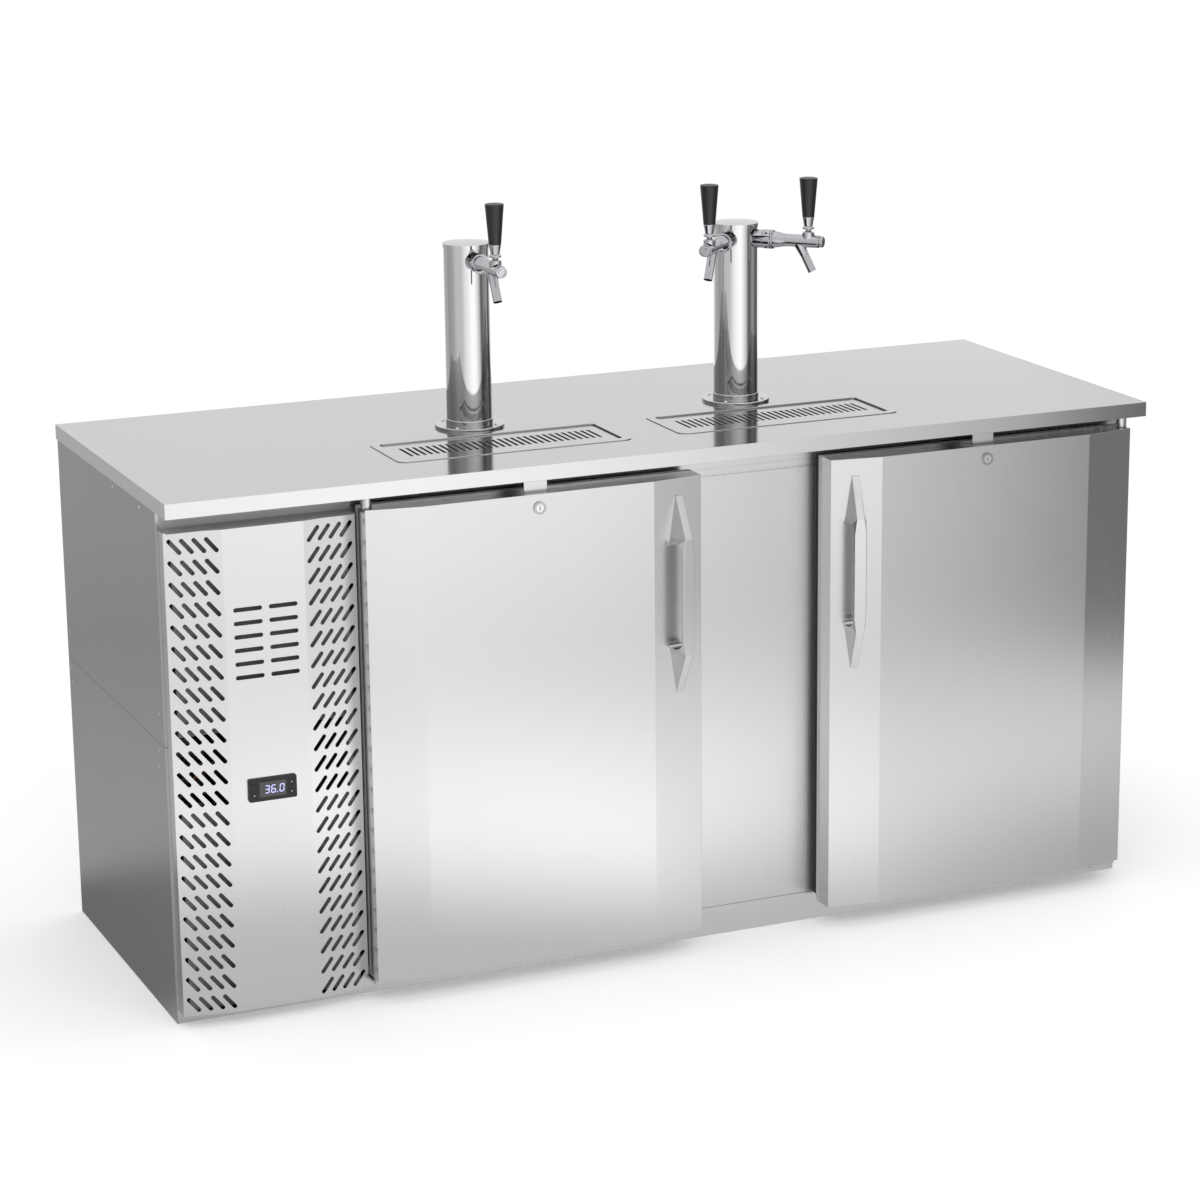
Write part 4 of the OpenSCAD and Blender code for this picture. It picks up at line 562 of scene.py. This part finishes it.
def lightDigits():
    low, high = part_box("display_window")
    middle = (Vector(low) + Vector(high)) / 2
    width, height, stroke, gap, pitch = (displayDigits[key]
                                         for key in ("width", "height", "stroke", "gap", "pitch"))
    ends = {"a": ((0, height), (width, height)), "b": ((width, height), (width, height / 2)),
            "c": ((width, height / 2), (width, 0)), "d": ((0, 0), (width, 0)), "e": ((0, 0), (0, height / 2)),
            "f": ((0, height / 2), (0, height)), "g": ((0, height / 2), (width, height / 2))}
    lean = math.tan(math.radians(displayDigits["slant"]))
    depth = (0, -(displayDigits["proud"] + displayDigits["sunk"]) * mm, 0)
    shape = bmesh.new()

    def place(x, z, left):
        z -= height / 2
        return Vector((middle.x + (left + x + lean * z) * mm, low[1] + displayDigits["sunk"] * mm,
                       middle.z + z * mm))

    left = displayDigits["firstX"]
    for mark in displayDigits["reading"]:
        if mark == ".":
            x = left - pitch + width + displayDigits["pointAway"]
            left += displayDigits["pointRoom"]
            half = displayDigits["pointHalf"]
            corners = ((-half, -half), (half, -half), (half, half), (-half, half))
            addPlate(shape, [place(cx, cz, x) for cx, cz in corners], depth)
            continue
        for segment in segmentsLit[mark]:
            start, end = (Vector(point) for point in ends[segment])
            run = (end - start).normalized()
            side = Vector((-run.y, run.x)) * stroke / 2
            start, end = start + run * gap, end - run * gap
            inner = run * stroke / 2
            outline = (start, start + inner - side, end - inner - side,
                       end, end - inner + side, start + inner + side)
            addPlate(shape, [place(p.x, p.y, left) for p in outline], depth)
        left += pitch
    # Light from the diodes, spread by the acrylic diffuser: even, pale violet
    lit = startMaterial("ledDigitDiffuser", {
        "Base Color": linear(displayDigits["colour"]), "Roughness": displayDigits["rough"], "IOR": 1.49,
        "Emission Color": linear(displayDigits["colour"]), "Emission Strength": displayDigits["glow"]})[0]
    finishPiece("display_digits", shape, lit, "cabinet", False)


lightDigits()
print("display digits lit")

# Key marks: printed arrows and bars on the round keys, in mm from each key's middle
keyMarks = {
    "sunk": 0.02,
    "depth": 0.1,
    "outlines": {
        "key_up": [((-1.5, -0.9), (1.5, -0.9), (0.0, 1.4))],
        "key_down": [((-1.5, 0.9), (0.0, -1.4), (1.5, 0.9))],
        "key_lamp": [((-1.6, 0.5), (1.6, 0.5), (1.6, 1.1), (-1.6, 1.1)),
                     ((-1.6, -0.9), (0.6, -0.9), (0.6, -0.3), (-1.6, -0.3))],
    },
}


def printKeys():
    for key, outlines in keyMarks["outlines"].items():
        low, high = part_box(key)
        middle = (Vector(low) + Vector(high)) / 2
        back = low[1] + keyMarks["sunk"] * mm
        shape = bmesh.new()
        for outline in outlines:
            points = [Vector((middle.x + x * mm, back, middle.z + z * mm)) for x, z in outline]
            addPlate(shape, points, (0, -keyMarks["depth"] * mm, 0))
        finishPiece(key + "_mark", shape, finishes["keyPrint"], key, False)


printKeys()
print("keys printed")

# Wire guard in front of the evaporator fan, round its motor
fanGuard = {
    "coverDepth": 44,  # mm behind the cover's plate
    "firstRing": 34,  # mm, radius
    "ringPitch": 11,
    "rings": 5,
    "ringSteps": 72,
    "wire": 1.2,  # mm, radius
    "spokes": 6,
    "stand": 7,  # mm in front of the cover's plate
    "spokeEnd": 2,  # mm past the last ring, like the next two
    "kneeEnd": 6,
    "legEnd": 7,
    "legShare": 0.85,  # of the stand
    "feet": 92,  # mm from the middle
}


def bendGuard():
    fanLow, fanHigh = (Vector(corner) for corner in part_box("evaporator_fan"))
    plate = Vector(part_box("evaporator_cover")[1]).y - fanGuard["coverDepth"] * mm
    stand, wire = fanGuard["stand"] * mm, fanGuard["wire"] * mm
    middle = Vector(((fanLow.x + fanHigh.x) / 2, plate - stand, (fanLow.z + fanHigh.z) / 2))

    def ways(count, start):
        turns = [math.tau * (k + start) / count for k in range(count)]
        return [Vector((math.cos(turn), 0, math.sin(turn))) for turn in turns]

    shape = bmesh.new()
    radii = [fanGuard["firstRing"] + fanGuard["ringPitch"] * i for i in range(fanGuard["rings"])]
    for radius in radii:
        addWire(shape, [middle + way * (radius * mm) for way in ways(fanGuard["ringSteps"], 0)], wire, True)
    over = middle + Vector((0, -2 * wire, 0))
    foot = middle + Vector((0, stand, 0)) * fanGuard["legShare"]
    for way in ways(fanGuard["spokes"], 0.5):
        stops = ((over, radii[0]), (over, radii[-1] + fanGuard["spokeEnd"]),
                 (middle, radii[-1] + fanGuard["kneeEnd"]), (foot, radii[-1] + fanGuard["legEnd"]),
                 (foot, fanGuard["feet"]))
        addWire(shape, [start + way * reach * mm for start, reach in stops], wire, False)
    finishPiece("fan_guard", shape, finishes["guardWire"], "cabinet", True)


bendGuard()
print("fan guard bent")

# Hoods behind the slots of the rear panel, which keep the light out
rearHoods = {
    "count": 10,
    "pitch": 24,  # mm
    "middleZ": 270,
    "halfLength": 106,
    "gap": 0.05,
    "rise": 7.5,
    "drop": 5.5,
    "reach": 11,
    "thickness": 0.8,
}


def pressHoods():
    low, high = (Vector(corner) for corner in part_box("rear_vent_panel"))
    middle, back = (low.x + high.x) / 2, low.y - rearHoods["gap"] * mm
    half, tip = rearHoods["halfLength"] * mm, back - rearHoods["reach"] * mm
    skin = Vector((0, 0, -rearHoods["thickness"] * mm))
    shape = bmesh.new()
    for i in range(rearHoods["count"]):
        z = (rearHoods["middleZ"] + (i - (rearHoods["count"] - 1) / 2) * rearHoods["pitch"]) * mm
        fold = [(back, z + rearHoods["rise"] * mm), (tip, z - rearHoods["drop"] * mm)]
        side = [Vector((middle - half, y, h)) for y, h in fold]
        side += [point + skin for point in side[::-1]]
        addPlate(shape, side, (2 * half, 0, 0))
    finishPiece("rear_hoods", shape, finishes["sideSteel"], "cabinet", False)


pressHoods()
print("hoods pressed")

# Filter mats behind the grille, over and under the controller: grey through the slots
filterMats = {
    "spans": ((28, 362), (486, 806)),  # mm above the floor
    "side": 12,
    "behind": 18,  # mm behind the grille's front
    "thickness": 6,
}


def layMats():
    low, high = (Vector(corner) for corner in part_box("front_grille"))
    left, right = low.x + filterMats["side"] * mm, high.x - filterMats["side"] * mm
    front = low.y + filterMats["behind"] * mm
    shape = bmesh.new()
    for bottom, top in filterMats["spans"]:
        corners = ((left, bottom), (right, bottom), (right, top), (left, top))
        points = [Vector((x, front, z * mm)) for x, z in corners]
        addPlate(shape, points, (0, filterMats["thickness"] * mm, 0))
    finishPiece("filter_mats", shape, finishes["filterMat"], "cabinet", False)


layMats()
print("filter mats laid")

# Strip of zinc-coated sheet between the grille and the worktop, folded over the grille's top: a duller sheet
# laid there to paint the shade of the worktop's overhang on the rail
shadeStrip = {
    "thickness": 0.5,  # mm
    "clear": 0.1,
    "side": 3,
    "top": 0.8,
    "lip": 40,
}


def foldShadeStrip():
    grilleLow, grilleHigh = (Vector(corner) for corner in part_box("front_grille"))
    railLow, railHigh = (Vector(corner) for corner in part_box("front_top_rail"))
    sheet, clear = shadeStrip["thickness"] * mm, shadeStrip["clear"] * mm
    left, right = grilleLow.x + shadeStrip["side"] * mm, grilleHigh.x - shadeStrip["side"] * mm
    face, foot = railLow.y, grilleHigh.z + clear
    lip, top = face - shadeStrip["lip"] * mm, railHigh.z - shadeStrip["top"] * mm
    # The bend's corners stand off in multiples of the sheet
    fold = [(lip, foot), (face - 2 * sheet, foot), (face - clear, foot + 2 * sheet), (face - clear, top),
            (face - sheet, top), (face - sheet, foot + 3 * sheet), (face - 2.5 * sheet, foot + sheet),
            (lip, foot + sheet)]
    shape = bmesh.new()
    addPlate(shape, [Vector((left, y, z)) for y, z in fold], (right - left, 0, 0))
    finishPiece("grille_top_shade_strip", shape, finishes["galvanisedShade"], "cabinet", False)


foldShadeStrip()
print("strip folded")

# Screws round the back: pan heads with a round recess
backScrews = {
    "headRadius": 3.6,  # mm
    "headHeight": 2.0,
    "sunk": 0.2,
    # Radius and height up the head and down into the recess, of the head's own
    "profile": ((1, 0.35), (0.86, 0.75), (0.6, 0.95), (0.34, 1), (0.22, 0.45)),
    "steps": 20,
    "ventInset": 9,
    "wallInset": 22,
    "pitch": 170,
}


def driveScrew(shape, place):
    radius, height = backScrews["headRadius"] * mm, backScrews["headHeight"] * mm
    stand = Matrix.Translation(place) @ Matrix.Rotation(-math.pi / 2, 4, "X")  # heads face the back
    profile = [(radius, -backScrews["sunk"] * mm)]
    profile += [(r * radius, h * height) for r, h in backScrews["profile"]]
    addTurned(shape, profile, stand, backScrews["steps"])


def screwBack():
    pitch = backScrews["pitch"] * mm
    shape = bmesh.new()
    for node, inset in (("rear_vent_panel", "ventInset"), ("insulated_back", "wallInset")):
        low, high = (Vector(corner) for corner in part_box(node))
        edge = backScrews[inset] * mm
        x0, x1, z0, z1 = low.x + edge, high.x - edge, low.z + edge, high.z - edge
        across = max(1, round((x1 - x0) / pitch))
        up = max(1, round((z1 - z0) / pitch))
        spots = [(x0 + (x1 - x0) * i / across, z) for i in range(across + 1) for z in (z0, z1)]
        spots += [(x, z0 + (z1 - z0) * i / up) for i in range(1, up) for x in (x0, x1)]
        for x, z in spots:
            driveScrew(shape, Vector((x, high.y, z)))
    finishPiece("back_screws", shape, finishes["mirrorSteel"], "cabinet", True)


screwBack()
print("back screwed")
